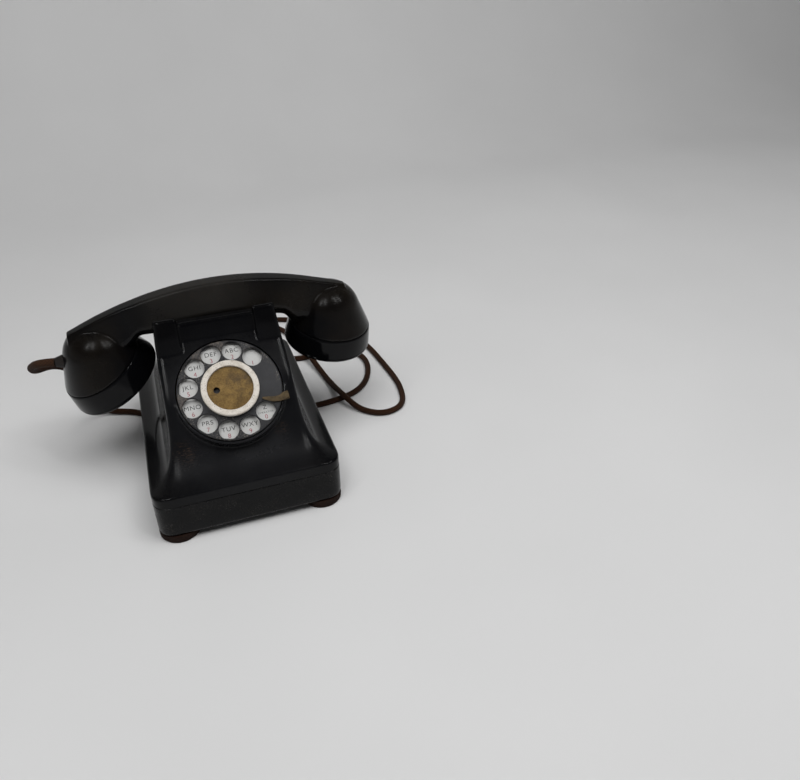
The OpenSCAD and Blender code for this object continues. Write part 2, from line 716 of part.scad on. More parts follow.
module on_cradle() {
    at_body() translate(lean_c) rotate([handset_lean, 0, 0]) translate([0, 0, -lean_c[2]]) children();
}
module at_mouth() { translate([mouth_c[0], 0, mouth_c[1]]) rotate([0, -mouth_tilt, 0]) children(); }
module at_ear() { translate([ear_c[0], 0, ear_c[1]]) rotate([0, ear_tilt, 0]) children(); }

// Handle: six-cornered sections, narrow on top and widest low down. Its ends run into the bells.
function section(x, z_bot, z_top, w) = [for (p = rounded([[-0.58 * w, z_bot], [0.58 * w, z_bot],
    [w, z_bot + 0.34 * (z_top - z_bot)], [0.32 * w, z_top], [-0.32 * w, z_top],
    [-w, z_bot + 0.34 * (z_top - z_bot)]], [4, 4, 3.5, 1.8, 1.8, 3.5], 3)) [x, p[0], p[1]]];
function handle_top(x) = handle_top_z - pow(x - 6, 2) / 450;
function handle_under(x) = handle_top_z - 29.2 - pow(x, 2) / 440;
handle_left = [[-106, 113, 127.4, 10], [-101, 110, 129.4, 12], [-93, 107, 132.9, 13.2],
    [-84, 104, 136.8, 14], [-72, 104.5, 141.2, 14.7], [-64.5, 107, 143.7, 15],
    [-60.5, 113.5, 144.7, 15.2], [-58, 119, 145.4, 15.3], [-54, 121.5, 146.5, 15.6]];
handle_right = [[56, 118.4, 149, 15.5], [61, 107, 147.9, 15.2], [72, 104.5, 144.9, 14.7],
    [84, 104, 141, 14], [93, 107, 138.2, 13.2], [101, 110, 135.6, 12], [107, 113, 133.2, 10]];
module handle() {
    loft(concat([for (p = handle_left) section(p[0], p[1], p[2], p[3])],
        [for (x = [-48:12:48]) section(x, handle_under(x), handle_top(x),
            handle_w - pow(x / 48, 2) * 0.8)],
        [for (p = handle_right) section(p[0], p[1], p[2], p[3])]));
}

// Bell of a cup: a dome over the middle of the handle's end, drawn down to the seam of its cap.
mouth_dome = [-87.2, 104.1];
mouth_dome_r = 26.5;
ear_dome = [93.5, 109.3];
ear_dome_r = 25.7;
module bell(dome_at, r) {
    intersection() {
        hull() {
            children(0);
            translate([dome_at[0], 0, dome_at[1]]) sphere(r = r, $fn = 40);
        }
        children(1);
    }
}
module bell_foot() { cylinder(r = bell_r, h = 0.6, $fn = 72); }
module above_seam() { cylinder(r = 60, h = 60); }
module neck() { translate([0, 0, -neck_h]) cylinder(r = neck_r, h = neck_h + 0.3, $fn = 96); }
hollow_r = 27;
module cup_hollow() {
    rotate_extrude($fn = 96)
        polygon([[0, -neck_h - 1], [hollow_r, -neck_h - 1], [hollow_r, 3], [14, 20], [0, 22]]);
}

bush_y = -2;
bush_z = 105;
module at_bush() { translate([bush_x, bush_y, bush_z]) rotate([0, -90, 0]) children(); }

module handset_body() {
    color(bakelite) on_cradle() difference() {
        union() {
            handle();
            bell(mouth_dome, mouth_dome_r) {
                at_mouth() bell_foot();
                at_mouth() above_seam();
            }
            bell(ear_dome, ear_dome_r) {
                at_ear() bell_foot();
                at_ear() above_seam();
            }
            at_mouth() neck();
            at_ear() neck();
            at_bush() translate([0, 0, -6]) cylinder(r = 5.4, h = 4.4);
        }
        at_mouth() cup_hollow();
        at_ear() cup_hollow();
        at_bush() translate([0, 0, -14]) cylinder(r = 3.65, h = 20);
        at_bush() translate([0, 0, -1.6]) cylinder(r = 5.4, h = 6);
    }
}

module cord_bush() {
    color("#2b2420") on_cradle() at_bush() rotate_extrude() polygon([[0, -9], [3.6, -9], [3.6, -1.5],
        [5, -1.5], [5, 0], [3.5, bush_out], [0, bush_out]]);
}

// Screw cap: flared side with a fine bead above the rim, and a dished face.
dish = 1.4;
cap_t = 2.6;
module cap_shell(rim_r, depth) {
    bore = neck_r + run;
    side = [[seam_r, -0.8], [(seam_r + rim_r) / 2 + 0.5, -depth / 2], [rim_r, -depth + 3.2]];
    rotate_extrude($fn = 96) polygon(concat([[bore, -0.25], [seam_r - 0.5, -0.25]],
        [for (i = [0:4]) bow(side, i / 4)],
        [[rim_r - 0.5, -depth + 2.9], [rim_r - 0.1, -depth + 2.4], [rim_r - 0.3, -depth + 0.9],
         [rim_r - 1.4, -depth], [rim_r - 5, -depth], [rim_r - 11, -depth + dish], [0, -depth + dish],
         [0, -depth + dish + cap_t], [bore - 4, -depth + dish + cap_t], [bore - 4, -neck_h - 0.3],
         [bore, -neck_h - 0.3]]));
}
module sound_holes(rings, r, depth) {
    translate([0, 0, -depth - 1]) {
        cylinder(r = r, h = 8);
        for (q = rings) for (i = [1:q[0]])
            rotate([0, 0, i * 360 / q[0]]) translate([q[1], 0, 0]) cylinder(r = r, h = 8);
    }
}
module mouth_cap() {
    color(bakelite) on_cradle() at_mouth() difference() {
        cap_shell(cap_r, mouth_depth);
        sound_holes([[6, 7], [12, 14]], 1.5, mouth_depth);
    }
}
module ear_cap() {
    color(bakelite) on_cradle() at_ear() difference() {
        cap_shell(ear_rim_r, ear_depth);
        sound_holes([[6, 6]], 1.25, ear_depth);
    }
}
module mouth_capsule() {
    color(steel) on_cradle() at_mouth() translate([0, 0, -neck_h + 0.1]) cylinder(r = 26, h = 9, $fn = 96);
}
module ear_capsule() {
    color(steel) on_cradle() at_ear() translate([0, 0, -neck_h + 0.1]) cylinder(r = 26, h = 9, $fn = 96);
}
module contact_ring() { translate([0, 0, 1.2]) ring(hollow_r - 0.2, 22, 1.6); }
module mouth_ring() { color(brass) on_cradle() at_mouth() contact_ring(); }
module ear_ring() { color(brass) on_cradle() at_ear() contact_ring(); }

housing();
base_pan();
feet();
foot_rivets();
housing_screws();
dial_case();
number_plate();
finger_stop();
dial_frame();
dial_screws();
governor_cup();
return_spring();
pulse_springs();
finger_wheel();
card_ring();
card_plate();
main_shaft();
main_gear();
pulse_wheel();
governor();
plunger_left();
plunger_right();
hook_lever();
hook_pivot();
switch_bracket();
contact_springs();
ringer_frame();
ringer_coils();
ringer_cores();
ringer_magnet();
gong_left();
gong_right();
gong_screws();
clapper();
clapper_pivot();
induction_coil();
condenser();
terminal_board();
terminal_screws();
cord_grommet();
line_grommet();
handset_cord();
handset_body();
mouth_cap();
ear_cap();
mouth_capsule();
ear_capsule();
mouth_ring();
ear_ring();
cord_bush();
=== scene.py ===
import math

import bmesh
import bpy
import numpy as np
from mathutils import Matrix, Vector


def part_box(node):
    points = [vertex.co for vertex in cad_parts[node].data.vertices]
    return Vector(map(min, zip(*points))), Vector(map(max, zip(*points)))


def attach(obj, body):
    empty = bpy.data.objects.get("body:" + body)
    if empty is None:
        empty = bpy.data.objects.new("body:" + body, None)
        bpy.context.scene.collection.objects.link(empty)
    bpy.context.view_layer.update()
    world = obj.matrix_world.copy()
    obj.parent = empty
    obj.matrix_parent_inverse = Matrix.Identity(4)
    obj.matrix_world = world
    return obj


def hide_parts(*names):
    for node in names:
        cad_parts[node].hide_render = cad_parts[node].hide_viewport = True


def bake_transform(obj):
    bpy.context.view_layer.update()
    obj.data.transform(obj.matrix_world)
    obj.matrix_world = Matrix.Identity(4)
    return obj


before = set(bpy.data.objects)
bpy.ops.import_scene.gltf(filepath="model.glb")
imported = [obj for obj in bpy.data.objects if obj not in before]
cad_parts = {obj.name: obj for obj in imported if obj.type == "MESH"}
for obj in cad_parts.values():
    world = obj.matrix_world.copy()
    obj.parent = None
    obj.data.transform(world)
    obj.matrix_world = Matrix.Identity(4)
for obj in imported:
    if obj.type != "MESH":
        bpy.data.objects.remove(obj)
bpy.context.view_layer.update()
print("frame:", len(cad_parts), "nodes")

mm = 0.001
panLow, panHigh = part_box("base_pan")
baseX = (panLow[0] + panHigh[0]) / 2  # the base stands a little left of the whole telephone's middle

# place in millimetres from the middle of the base, angles in degrees
camera = {"place": (-30.9, -520.4, 395.4), "turn": -19.24, "pitch": 34.0, "roll": -0.64, "lens": 33.255}


def atBase(p):
    # millimetres measured from the middle of the base, into the frame's metres
    return Vector((p[0] * mm + baseX, p[1] * mm, p[2] * mm))


def addCamera():
    turn, pitch, roll = (math.radians(camera[k]) for k in ("turn", "pitch", "roll"))
    look = Vector((-math.sin(turn) * math.cos(pitch), math.cos(turn) * math.cos(pitch), -math.sin(pitch)))
    side = look.cross(Vector((0, 0, 1))).normalized()
    up = side.cross(look)
    right = math.cos(roll) * side + math.sin(roll) * up
    top = -math.sin(roll) * side + math.cos(roll) * up
    data = bpy.data.cameras.new("camera")
    data.lens = camera["lens"]
    data.sensor_width = 36
    data.clip_start = 0.01
    cam = bpy.data.objects.new("camera", data)
    turnTo = Matrix((right, top, -look)).transposed().to_4x4()
    cam.matrix_world = Matrix.Translation(atBase(camera["place"])) @ turnTo
    bpy.context.collection.objects.link(cam)
    bpy.context.scene.camera = cam
    print("camera:", camera["lens"], "mm lens")


# material building: every length in these is in millimetres

def newMaterial(name, colour=(0.5, 0.5, 0.5), rough=0.5, **sockets):
    mat = bpy.data.materials.new(name)
    mat.use_nodes = True
    shader = mat.node_tree.nodes["Principled BSDF"]
    shader.inputs["Base Color"].default_value = (*colour, 1)
    shader.inputs["Roughness"].default_value = rough
    for key, value in sockets.items():
        shader.inputs[key.replace("_", " ")].default_value = value
    return mat, mat.node_tree, shader


def place(tree, kind, **values):
    node = tree.nodes.new("ShaderNode" + kind)
    for key, value in values.items():
        if hasattr(node, key):
            setattr(node, key, value)
        else:
            node.inputs[key.replace("_", " ")].default_value = value
    return node


def join(tree, start, end):
    tree.links.new(start, end)


def coords(tree, stretch=(1, 1, 1)):
    # object coordinates in millimetres, so a noise scale reads as waves per millimetre
    source = place(tree, "TexCoord")
    mapping = place(tree, "Mapping")
    mapping.inputs["Scale"].default_value = [1000 * s for s in stretch]
    join(tree, source.outputs["Object"], mapping.inputs["Vector"])
    return mapping.outputs["Vector"]


def noise(tree, at, scale, detail=4, rough=0.55, low=0.0, high=1.0):
    # noise value stretched so that low..high becomes 0..1
    tex = place(tree, "TexNoise", Scale=scale, Detail=detail, Roughness=rough)
    join(tree, at, tex.inputs["Vector"])
    return spread(tree, tex.outputs["Fac"], low, high)


def spread(tree, value, low, high, outLow=0.0, outHigh=1.0):
    rng = place(tree, "MapRange")
    rng.inputs["From Min"].default_value = low
    rng.inputs["From Max"].default_value = high
    rng.inputs["To Min"].default_value = outLow
    rng.inputs["To Max"].default_value = outHigh
    join(tree, value, rng.inputs["Value"])
    return rng.outputs["Result"]


def sums(tree, kind, a, b):
    node = place(tree, "Math", operation=kind)
    for i, v in enumerate((a, b)):
        if isinstance(v, (int, float)):
            node.inputs[i].default_value = v
        else:
            join(tree, v, node.inputs[i])
    return node.outputs["Value"]


def times(tree, a, b):
    return sums(tree, "MULTIPLY", a, b)


def plus(tree, a, b):
    return sums(tree, "ADD", a, b)


def blendColour(tree, fac, a, b):
    node = place(tree, "Mix", data_type="RGBA")
    for socket, v in ((node.inputs[6], a), (node.inputs[7], b)):
        if isinstance(v, tuple):
            socket.default_value = (*v, 1)
        else:
            join(tree, v, socket)
    join(tree, fac, node.inputs[0])
    return node.outputs[2]


def nearTo(tree, at, spot, reach):
    # 1 at a spot of the surface, falling to 0 at its reach
    away = place(tree, "VectorMath", operation="DISTANCE")
    join(tree, at, away.inputs[0])
    away.inputs[1].default_value = [v / mm for v in atBase(spot)]
    return spread(tree, away.outputs["Value"], 0.35 * reach, reach, 1.0, 0.0)


def bump(tree, shader, height, strength, depth):
    node = place(tree, "Bump", Strength=strength, Distance=depth)
    join(tree, height, node.inputs["Height"])
    join(tree, node.outputs["Normal"], shader.inputs["Normal"])


def upward(tree):
    axis = place(tree, "SeparateXYZ")
    join(tree, place(tree, "TexCoord").outputs["Normal"], axis.inputs[0])
    return axis.outputs["Z"]


# black phenolic: gloss is the roughness where the polish is left and dull what age adds to it, warm the
# browning by light and hands, dust what lies on top, rubbed the places worn by use; the last entry gives
# spot, reach and colour of the place where hands dulled the polish, that lighter colour being painted sheen
moulding = {
    "housing": {"gloss": 0.08, "dull": 0.07, "warm": 0.15, "dust": 0.006, "wear": 0.9,
                "rubbed": [((-40, -77, 62), 12), ((31, -74, 64), 7)],
                "dulledAndSheen": ((0, -72, 78), 80, (0.0125, 0.0127, 0.0142))},
    "handset": {"gloss": 0.15, "dull": 0.10, "warm": 1.0, "dust": 0.008, "wear": 0.2,
                "rubbed": [((-6, 8, 150), 46)], "dulledAndSheen": ((-14, -4, 150), 56, (0.020, 0.0185, 0.0165))},
    "caps": {"gloss": 0.09, "dull": 0.06, "warm": 0.1, "dust": 0.005, "wear": 0, "rubbed": []},
}


def blackMoulding(name):
    make = moulding[name]
    mat, tree, shader = newMaterial(name + "_black", (0.004, 0.004, 0.005), 0.2, Specular_IOR_Level=0.17)
    at = coords(tree)
    patch = noise(tree, at, 0.020, 3, 0.5, 0.42, 0.68)
    fine = noise(tree, at, 0.42, 6, 0.65, 0.35, 0.75)
    scuffs = noise(tree, coords(tree, (0.6, 1, 3.2)), 0.55, 6, 0.75, 0.52, 0.68)
    dusty = times(tree, spread(tree, upward(tree), 0.55, 1.0), times(tree, fine, make["dust"] * 8))
    browning = times(tree, patch, make["warm"])
    browned = blendColour(tree, browning, (0.0020, 0.0021, 0.0027), (0.0074, 0.0058, 0.0042))
    colour = blendColour(tree, dusty, browned, (0.10, 0.095, 0.085))
    rough = plus(tree, times(tree, patch, make["dull"]), times(tree, fine, 0.05))
    if "dulledAndSheen" in make:  # polish dulled where hands have gripped it; the lighter colour laid over it there is painted sheen
        spot, reach, sheenTint = make["dulledAndSheen"]
        dullingAndSheen = times(tree, nearTo(tree, at, spot, reach), plus(tree, times(tree, patch, 0.35), 0.6))
        colour = blendColour(tree, dullingAndSheen, colour, sheenTint)
        rough = plus(tree, rough, times(tree, dullingAndSheen, 0.22))
    for spot, reach in make["rubbed"]:
        worn = times(tree, nearTo(tree, at, spot, reach), scuffs)
        colour = blendColour(tree, times(tree, worn, make["wear"]), colour, (0.060, 0.036, 0.022))
        rough = plus(tree, rough, times(tree, worn, 0.2))
    join(tree, colour, shader.inputs["Base Color"])
    join(tree, plus(tree, rough, make["gloss"]), shader.inputs["Roughness"])
    bump(tree, shader, plus(tree, fine, noise(tree, at, 0.05, 2)), 0.02, 0.0004)
    return mat


def blackEnamel(name, chips, rough, tone, worn=()):
    # stoved black enamel, satin, worn through to grey metal in small specks
    mat, tree, shader = newMaterial(name, (0.012, 0.012, 0.014), rough, Specular_IOR_Level=0.16)
    at = coords(tree)
    cloud = noise(tree, at, 0.06, 4, 0.6, 0.3, 0.7)
    speck = times(tree, noise(tree, at, 1.1, 3, 0.7, 0.57, 0.66), noise(tree, at, 0.05, 2, 0.5, 0.44, 0.60))
    chip = times(tree, speck, chips)
    deep = tuple(c * tone for c in (0.85, 0.86, 0.94))
    light = tuple(c * tone for c in (1.7, 1.7, 1.82))
    base = blendColour(tree, cloud, deep, light)
    for spot, reach in worn:
        thin = times(tree, nearTo(tree, at, spot, reach), noise(tree, at, 0.5, 5, 0.7, 0.40, 0.62))
        base = blendColour(tree, thin, base, (0.105, 0.090, 0.078))
    join(tree, blendColour(tree, chip, base, (0.22, 0.20, 0.175)), shader.inputs["Base Color"])
    join(tree, plus(tree, times(tree, cloud, 0.14), rough), shader.inputs["Roughness"])
    bump(tree, shader, sums(tree, "SUBTRACT", noise(tree, at, 0.5, 4), chip), 0.08, 0.0003)
    return mat


def whiteEnamel():
    mat, tree, shader = newMaterial("plate_white", (0.54, 0.54, 0.53), 0.2)
    at = coords(tree)
    grime = noise(tree, at, 0.12, 5, 0.6, 0.5, 0.75)
    dots = noise(tree, at, 0.9, 3, 0.6, 0.66, 0.74)
    clean = blendColour(tree, times(tree, grime, 0.5), (0.54, 0.54, 0.53), (0.36, 0.345, 0.31))
    dotted = blendColour(tree, times(tree, dots, 0.6), clean, (0.22, 0.19, 0.15))
    join(tree, dotted, shader.inputs["Base Color"])
    join(tree, plus(tree, times(tree, grime, 0.25), 0.2), shader.inputs["Roughness"])
    return mat


def creamRing():
    mat, tree, shader = newMaterial("ring_cream", (0.75, 0.73, 0.68), 0.45)
    at = coords(tree)
    stain = noise(tree, at, 0.16, 5, 0.6, 0.45, 0.75)
    chips = noise(tree, at, 1.3, 4, 0.6, 0.61, 0.66)
    base = blendColour(tree, times(tree, stain, 0.7), (0.66, 0.615, 0.55), (0.40, 0.345, 0.275))
    join(tree, blendColour(tree, chips, base, (0.08, 0.065, 0.05)), shader.inputs["Base Color"])
    join(tree, plus(tree, times(tree, stain, 0.2), 0.38), shader.inputs["Roughness"])
    bump(tree, shader, sums(tree, "SUBTRACT", stain, chips), 0.15, 0.0002)
    return mat


def agedBrass(name, clear, dark, stain):
    # bare brass gone brown, mottled, and darker round a stain
    mat, tree, shader = newMaterial(name, clear, 0.5, Metallic=0.3)
    at = coords(tree)
    broad = noise(tree, at, 0.13, 6, 0.66, 0.36, 0.66)
    small = noise(tree, at, 0.9, 6, 0.7, 0.38, 0.66)
    rubbed = blendColour(tree, broad, clear, dark)
    spotted = blendColour(tree, times(tree, small, 0.55), rubbed, tuple(c * 0.45 for c in dark))
    if stain:
        spot, reach = stain
        soaked = times(tree, nearTo(tree, at, spot, reach), times(tree, broad, 0.7))
        spotted = blendColour(tree, soaked, spotted, (0.07, 0.05, 0.03))
    join(tree, spotted, shader.inputs["Base Color"])
    join(tree, plus(tree, times(tree, small, 0.2), 0.48), shader.inputs["Roughness"])
    bump(tree, shader, plus(tree, small, broad), 0.25, 0.0002)
    return mat


def machinedMetal(name, colour, rough):
    mat, tree, shader = newMaterial(name, colour, rough, Metallic=1.0)
    at = coords(tree, (1, 1, 12))
    grain = noise(tree, at, 0.8, 5, 0.7, 0.3, 0.7)
    dull = tuple(c * 0.6 for c in colour)
    join(tree, blendColour(tree, times(tree, grain, 0.6), colour, dull), shader.inputs["Base Color"])
    join(tree, plus(tree, times(tree, grain, 0.2), rough), shader.inputs["Roughness"])
    bump(tree, shader, grain, 0.1, 0.0001)
    return mat


def leather():
    mat, tree, shader = newMaterial("foot_leather", (0.02, 0.01, 0.007), 0.75, Specular_IOR_Level=0.15)
    fibre = noise(tree, coords(tree, (1, 1, 3)), 1.1, 7, 0.7, 0.35, 0.65)
    broad = noise(tree, coords(tree), 0.12, 4, 0.6, 0.35, 0.65)
    base = blendColour(tree, broad, (0.013, 0.006, 0.0042), (0.007, 0.0038, 0.003))
    frayed = blendColour(tree, times(tree, fibre, 0.6), base, (0.036, 0.018, 0.012))
    join(tree, frayed, shader.inputs["Base Color"])
    join(tree, plus(tree, times(tree, fibre, 0.2), 0.65), shader.inputs["Roughness"])
    bump(tree, shader, fibre, 0.5, 0.0006)
    return mat


def plainStuff(name, colour, rough, grainScale, depth):
    mat, tree, shader = newMaterial(name, colour, rough)
    grain = noise(tree, coords(tree), grainScale, 5, 0.65, 0.3, 0.7)
    dark = tuple(c * 0.55 for c in colour)
    join(tree, blendColour(tree, grain, colour, dark), shader.inputs["Base Color"])
    join(tree, plus(tree, times(tree, grain, 0.15), rough), shader.inputs["Roughness"])
    bump(tree, shader, grain, 0.3, depth)
    return mat


def woundWire():
    # enamelled wire lying in fine turns along Y
    mat, tree, shader = newMaterial("wound_wire", (0.35, 0.10, 0.04), 0.35, Metallic=0.4)
    wave = place(tree, "TexWave", bands_direction="Y", Scale=0.9, Distortion=0.4)
    join(tree, coords(tree), wave.inputs["Vector"])
    turns = blendColour(tree, wave.outputs["Fac"], (0.20, 0.05, 0.02), (0.45, 0.15, 0.06))
    join(tree, turns, shader.inputs["Base Color"])
    bump(tree, shader, wave.outputs["Fac"], 0.6, 0.0003)
    return mat


def braid(name, dark, lit):
    # two sets of cotton strands laid crosswise; U runs round the cord and V along it in millimetres;
    # the valleys between strands are darkened as painted shade and the crests lightened as painted light
    mat, tree, shader = newMaterial(name, lit, 0.85, Specular_IOR_Level=0.15,
                                    Sheen_Weight=0.04, Sheen_Roughness=0.5)
    parts = place(tree, "SeparateXYZ")
    join(tree, place(tree, "TexCoord").outputs["UV"], parts.inputs[0])
    turns = times(tree, parts.outputs["X"], cord["strands"] * 2 * math.pi)
    along = times(tree, parts.outputs["Y"], 2 * math.pi / cord["pitch"])
    crest = None
    for sign in ("ADD", "SUBTRACT"):
        wave = sums(tree, "SINE", sums(tree, sign, turns, along), 0)
        crest = wave if crest is None else sums(tree, "MAXIMUM", crest, wave)
    height = spread(tree, crest, -0.4, 1.0)
    wear = noise(tree, coords(tree), 0.05, 4, 0.6, 0.35, 0.7)
    fuzz = noise(tree, coords(tree), 2.2, 4, 0.7, 0.3, 0.7)
    # the dark colour in the valleys is painted shade, the lit colour on the crests painted light
    deep = blendColour(tree, wear, dark, tuple(c * 0.7 for c in dark))
    bright = blendColour(tree, wear, lit, tuple(c * 0.65 for c in lit))
    strands = blendColour(tree, height, deep, bright)
    fuzzy = blendColour(tree, times(tree, fuzz, 0.2), strands, tuple(c * 1.5 for c in lit))
    join(tree, fuzzy, shader.inputs["Base Color"])
    bump(tree, shader, plus(tree, height, times(tree, fuzz, 0.4)), 0.6, 0.0003)
    return mat


cord = {"diameter": 5.4, "ringStep": 0.85, "sides": 24, "strandDepth": 0.10, "strands": 8, "pitch": 2.6,
        "slackAt": (-112, 60), "slackFrom": 30, "slackTo": 96}
lie = cord["diameter"] / 2 + 0.02
over = lie + cord["diameter"] + 0.6
# out of the back, round two loops at the right, under the base and up to the handset's left end
cordRoute = [
    (22, 103, 18.5), (21, 119, 13), (8, 143, lie), (-16, 178, lie), (8, 212, lie), (60, 214, lie),
    (116, 189, lie), (152, 135, lie), (161.5, 78, lie), (162.5, 32, lie), (153, 5, lie), (134, -0.5, lie),
    (117, 12, lie), (106.5, 30, over), (101, 73, lie), (92, 122, over), (88, 160, lie), (73, 193, lie),
    (46, 191, lie), (43, 146, lie), (84, 119, lie), (128, 124, lie), (145.5, 101, lie), (142, 70, lie),
    (124, 44, lie), (92, 33.5, lie), (44, 35, lie), (-42, 57, lie), (-66, 70, lie), (-80, 81, lie),
    (-96, 87, lie), (-106, 88.5, 7.5), (-110, 83, 21), (-113, 73, 44), (-117.5, 62, 68), (-130, 50, 81.5),
    (-139, 38, 85.5), (-140, 27, 95), (-132, 16, 103.7), (-118.8, 11.1, 104.9),
]

# one finish for each kind of surface
paints = {
    "housing": blackMoulding("housing"),
    "handset": blackMoulding("handset"),
    "caps": blackMoulding("caps"),
    "pan": blackEnamel("pan_black", 0.25, 0.20, 0.0025),
    "wheel": blackEnamel("wheel_black", 1.3, 0.28, 0.025,
                         [((-3, -28, 117.5), 8), ((-18, -33, 113.5), 7), ((-36, -56, 92.5), 9)]),
    "white": whiteEnamel(),
    "ring": creamRing(),
    "disc": agedBrass("disc_brass", (0.28, 0.172, 0.050), (0.132, 0.077, 0.021), ((10, -56, 103), 17)),
    "stop": agedBrass("stop_brass", (0.150, 0.102, 0.046), (0.058, 0.040, 0.019), None),
    "brass": machinedMetal("brass", (0.62, 0.46, 0.20), 0.28),
    "steel": machinedMetal("steel", (0.52, 0.53, 0.54), 0.32),
    "leather": leather(),
    "rubber": plainStuff("dark_rubber", (0.012, 0.0085, 0.007), 0.6, 0.6, 0.0002),
    "fibre": plainStuff("brown_fibre", (0.20, 0.09, 0.045), 0.6, 0.9, 0.0002),
    "can": plainStuff("grey_can", (0.42, 0.43, 0.44), 0.4, 0.4, 0.0001),
    "magnet": plainStuff("magnet_grey", (0.12, 0.12, 0.13), 0.6, 0.7, 0.0003),
    "wire": woundWire(),
    # each braid gets a shaded and a lit copy of one cotton colour: painted shade and painted light
    "braid": braid("cotton_braid", (0.011, 0.0044, 0.0022), (0.038, 0.0155, 0.0072)),
    "sleeve": braid("sleeve_braid", (0.015, 0.0064, 0.0033), (0.050, 0.023, 0.0115)),
    "ink": plainStuff("black_ink", (0.012, 0.012, 0.013), 0.4, 0.8, 0.0001),
    "redInk": plainStuff("red_ink", (0.33, 0.025, 0.05), 0.4, 0.8, 0.0001),
}

# the frame's own nodes and the finish each of them wears
wearers = {
    "housing": "plunger_left plunger_right",
    "pan": "dial_case",
    "white": "number_plate",
    "ring": "card_ring",
    "disc": "card_plate",
    "brass": "foot_rivets dial_frame governor_cup pulse_springs main_gear pulse_wheel contact_springs "
             "gong_left gong_right terminal_screws mouth_ring ear_ring",
    "steel": "housing_screws dial_screws return_spring main_shaft governor hook_lever hook_pivot "
             "switch_bracket ringer_frame ringer_cores gong_screws clapper clapper_pivot",
    "rubber": "cord_grommet line_grommet cord_bush",
    "fibre": "terminal_board",
    "can": "condenser mouth_capsule ear_capsule",
    "magnet": "ringer_magnet",
    "wire": "ringer_coils induction_coil",
}


def finishNodes():
    for paint, names in wearers.items():
        for name in names.split():
            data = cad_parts[name].data
            data.materials.clear()
            data.materials.append(paints[paint])
    print("finishes:", len(paints))


def addPiece(name, thing, paint, body, stands=(), sharp=35):
    # an object or a mesh becomes a finished piece of the telephone
    if isinstance(thing, bpy.types.Mesh):
        thing = bpy.data.objects.new(name, thing)
        bpy.context.collection.objects.link(thing)
    thing.name = thing.data.name = name
    mesh = thing.data
    mesh.materials.clear()
    mesh.materials.append(paints[paint])
    mesh.polygons.foreach_set("use_smooth", [True] * len(mesh.polygons))
    mesh.set_sharp_from_angle(angle=math.radians(sharp))
    if body:
        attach(thing, body)
    if stands:
        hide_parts(*stands)
    print(name + ":", len(mesh.polygons), "faces")
    return thing


# solids: points are millimetres from the middle of the base until they become a mesh

def loose(name, points, faces, home=None):
    points = np.asarray(points, float).reshape(-1, 3)
    if home is not None:
        turn = np.array(home)
        points = points @ turn[:3, :3].T + turn[:3, 3]
    mesh = bpy.data.meshes.new(name)
    mesh.from_pydata([tuple(p) for p in points * mm + np.array((baseX, 0, 0))], [], faces)
    body = bmesh.new()
    body.from_mesh(mesh)
    bmesh.ops.remove_doubles(body, verts=body.verts, dist=0.002 * mm)
    bmesh.ops.dissolve_degenerate(body, edges=body.edges, dist=0.0005 * mm)
    bmesh.ops.recalc_face_normals(body, faces=body.faces)
    body.to_mesh(mesh)
    body.free()
    thing = bpy.data.objects.new(name, mesh)
    bpy.context.collection.objects.link(thing)
    return thing


def skin(name, rings, home=None):
    # closed skin through rings of equal length
    rings = np.array(rings, float)
    m, n = rings.shape[:2]
    faces = [(i * n + j, i * n + (j + 1) % n, (i + 1) * n + (j + 1) % n, (i + 1) * n + j)
             for i in range(m - 1) for j in range(n)]
    faces += [tuple(range(n - 1, -1, -1)), tuple((m - 1) * n + j for j in range(n))]
    return loose(name, rings, faces, home)


def turned(name, profile, sides, home):
    # closed profile of radius and height, turned about its own axis
    n = len(profile)
    turns = np.arange(sides) * 2 * math.pi / sides
    points = [(r * math.cos(a), r * math.sin(a), z) for a in turns for r, z in profile]
    faces = [(i * n + j, i * n + (j + 1) % n, (i + 1) % sides * n + (j + 1) % n, (i + 1) % sides * n + j)
             for i in range(sides) for j in range(n)]
    return loose(name, points, faces, home)


def rod(name, r, low, high, sides, home):
    return turned(name, [(0, low), (r, low), (r, high), (0, high)], sides, home)


def across(name, x0, x1, outline):
    return skin(name, [[(x, y, z) for y, z in outline] for x in (x0, x1)])


def rounded(corners, cuts, steps=4):
    # corner points of a polygon, each corner rounded by a short parabola
    out, n = [], len(corners)
    for i in range(n):
        a, p, b = (np.array(corners[k % n], float) for k in (i - 1, i, i + 1))
        d = cuts[i] if isinstance(cuts, (list, tuple)) else cuts
        s = p + (a - p) * min(0.49, d / np.linalg.norm(a - p))
        e = p + (b - p) * min(0.49, d / np.linalg.norm(b - p))
        out += [(1 - t) ** 2 * s + 2 * t * (1 - t) * p + t * t * e for t in np.linspace(0, 1, steps + 1)]
    return out


def bow(p, t):
    p = np.array(p, float)
    return (1 - t) ** 2 * p[0] + 2 * t * (1 - t) * p[1] + t * t * p[2]


def worked(thing):
    # the object's modifiers become its mesh
    old = thing.data
    thing.data = bpy.data.meshes.new_from_object(thing.evaluated_get(bpy.context.evaluated_depsgraph_get()))
    thing.modifiers.clear()
    bpy.data.meshes.remove(old)
    return thing


def carve(thing, *tools, kind="DIFFERENCE"):
    for tool in tools:
        cut = thing.modifiers.new("cut", "BOOLEAN")
        cut.operation, cut.solver, cut.object = kind, "EXACT", tool
    worked(thing)
    for tool in tools:
        bpy.data.objects.remove(tool)
    return thing


def gather(first, *others):
    # several solids in one mesh
    whole = bmesh.new()
    for thing in (first, *others):
        whole.from_mesh(thing.data)
    whole.to_mesh(first.data)
    whole.free()
    for thing in others:
        bpy.data.objects.remove(thing)
    return first


def mould(thing, grain, soften):
    # one even skin over everything, with its edges run together as they leave a mould
    even = thing.modifiers.new("even", "REMESH")
    even.mode, even.voxel_size = "VOXEL", grain * mm
    soft = thing.modifiers.new("soft", "SMOOTH")
    soft.factor, soft.iterations = 0.5, soften
    return worked(thing)


dial = {"middle": (0, -54.3, 94), "slope": 42.1}
dialTurn = Matrix.Rotation(math.radians(dial["slope"]), 4, "X")
dialHome = Matrix.Translation(dial["middle"]) @ dialTurn


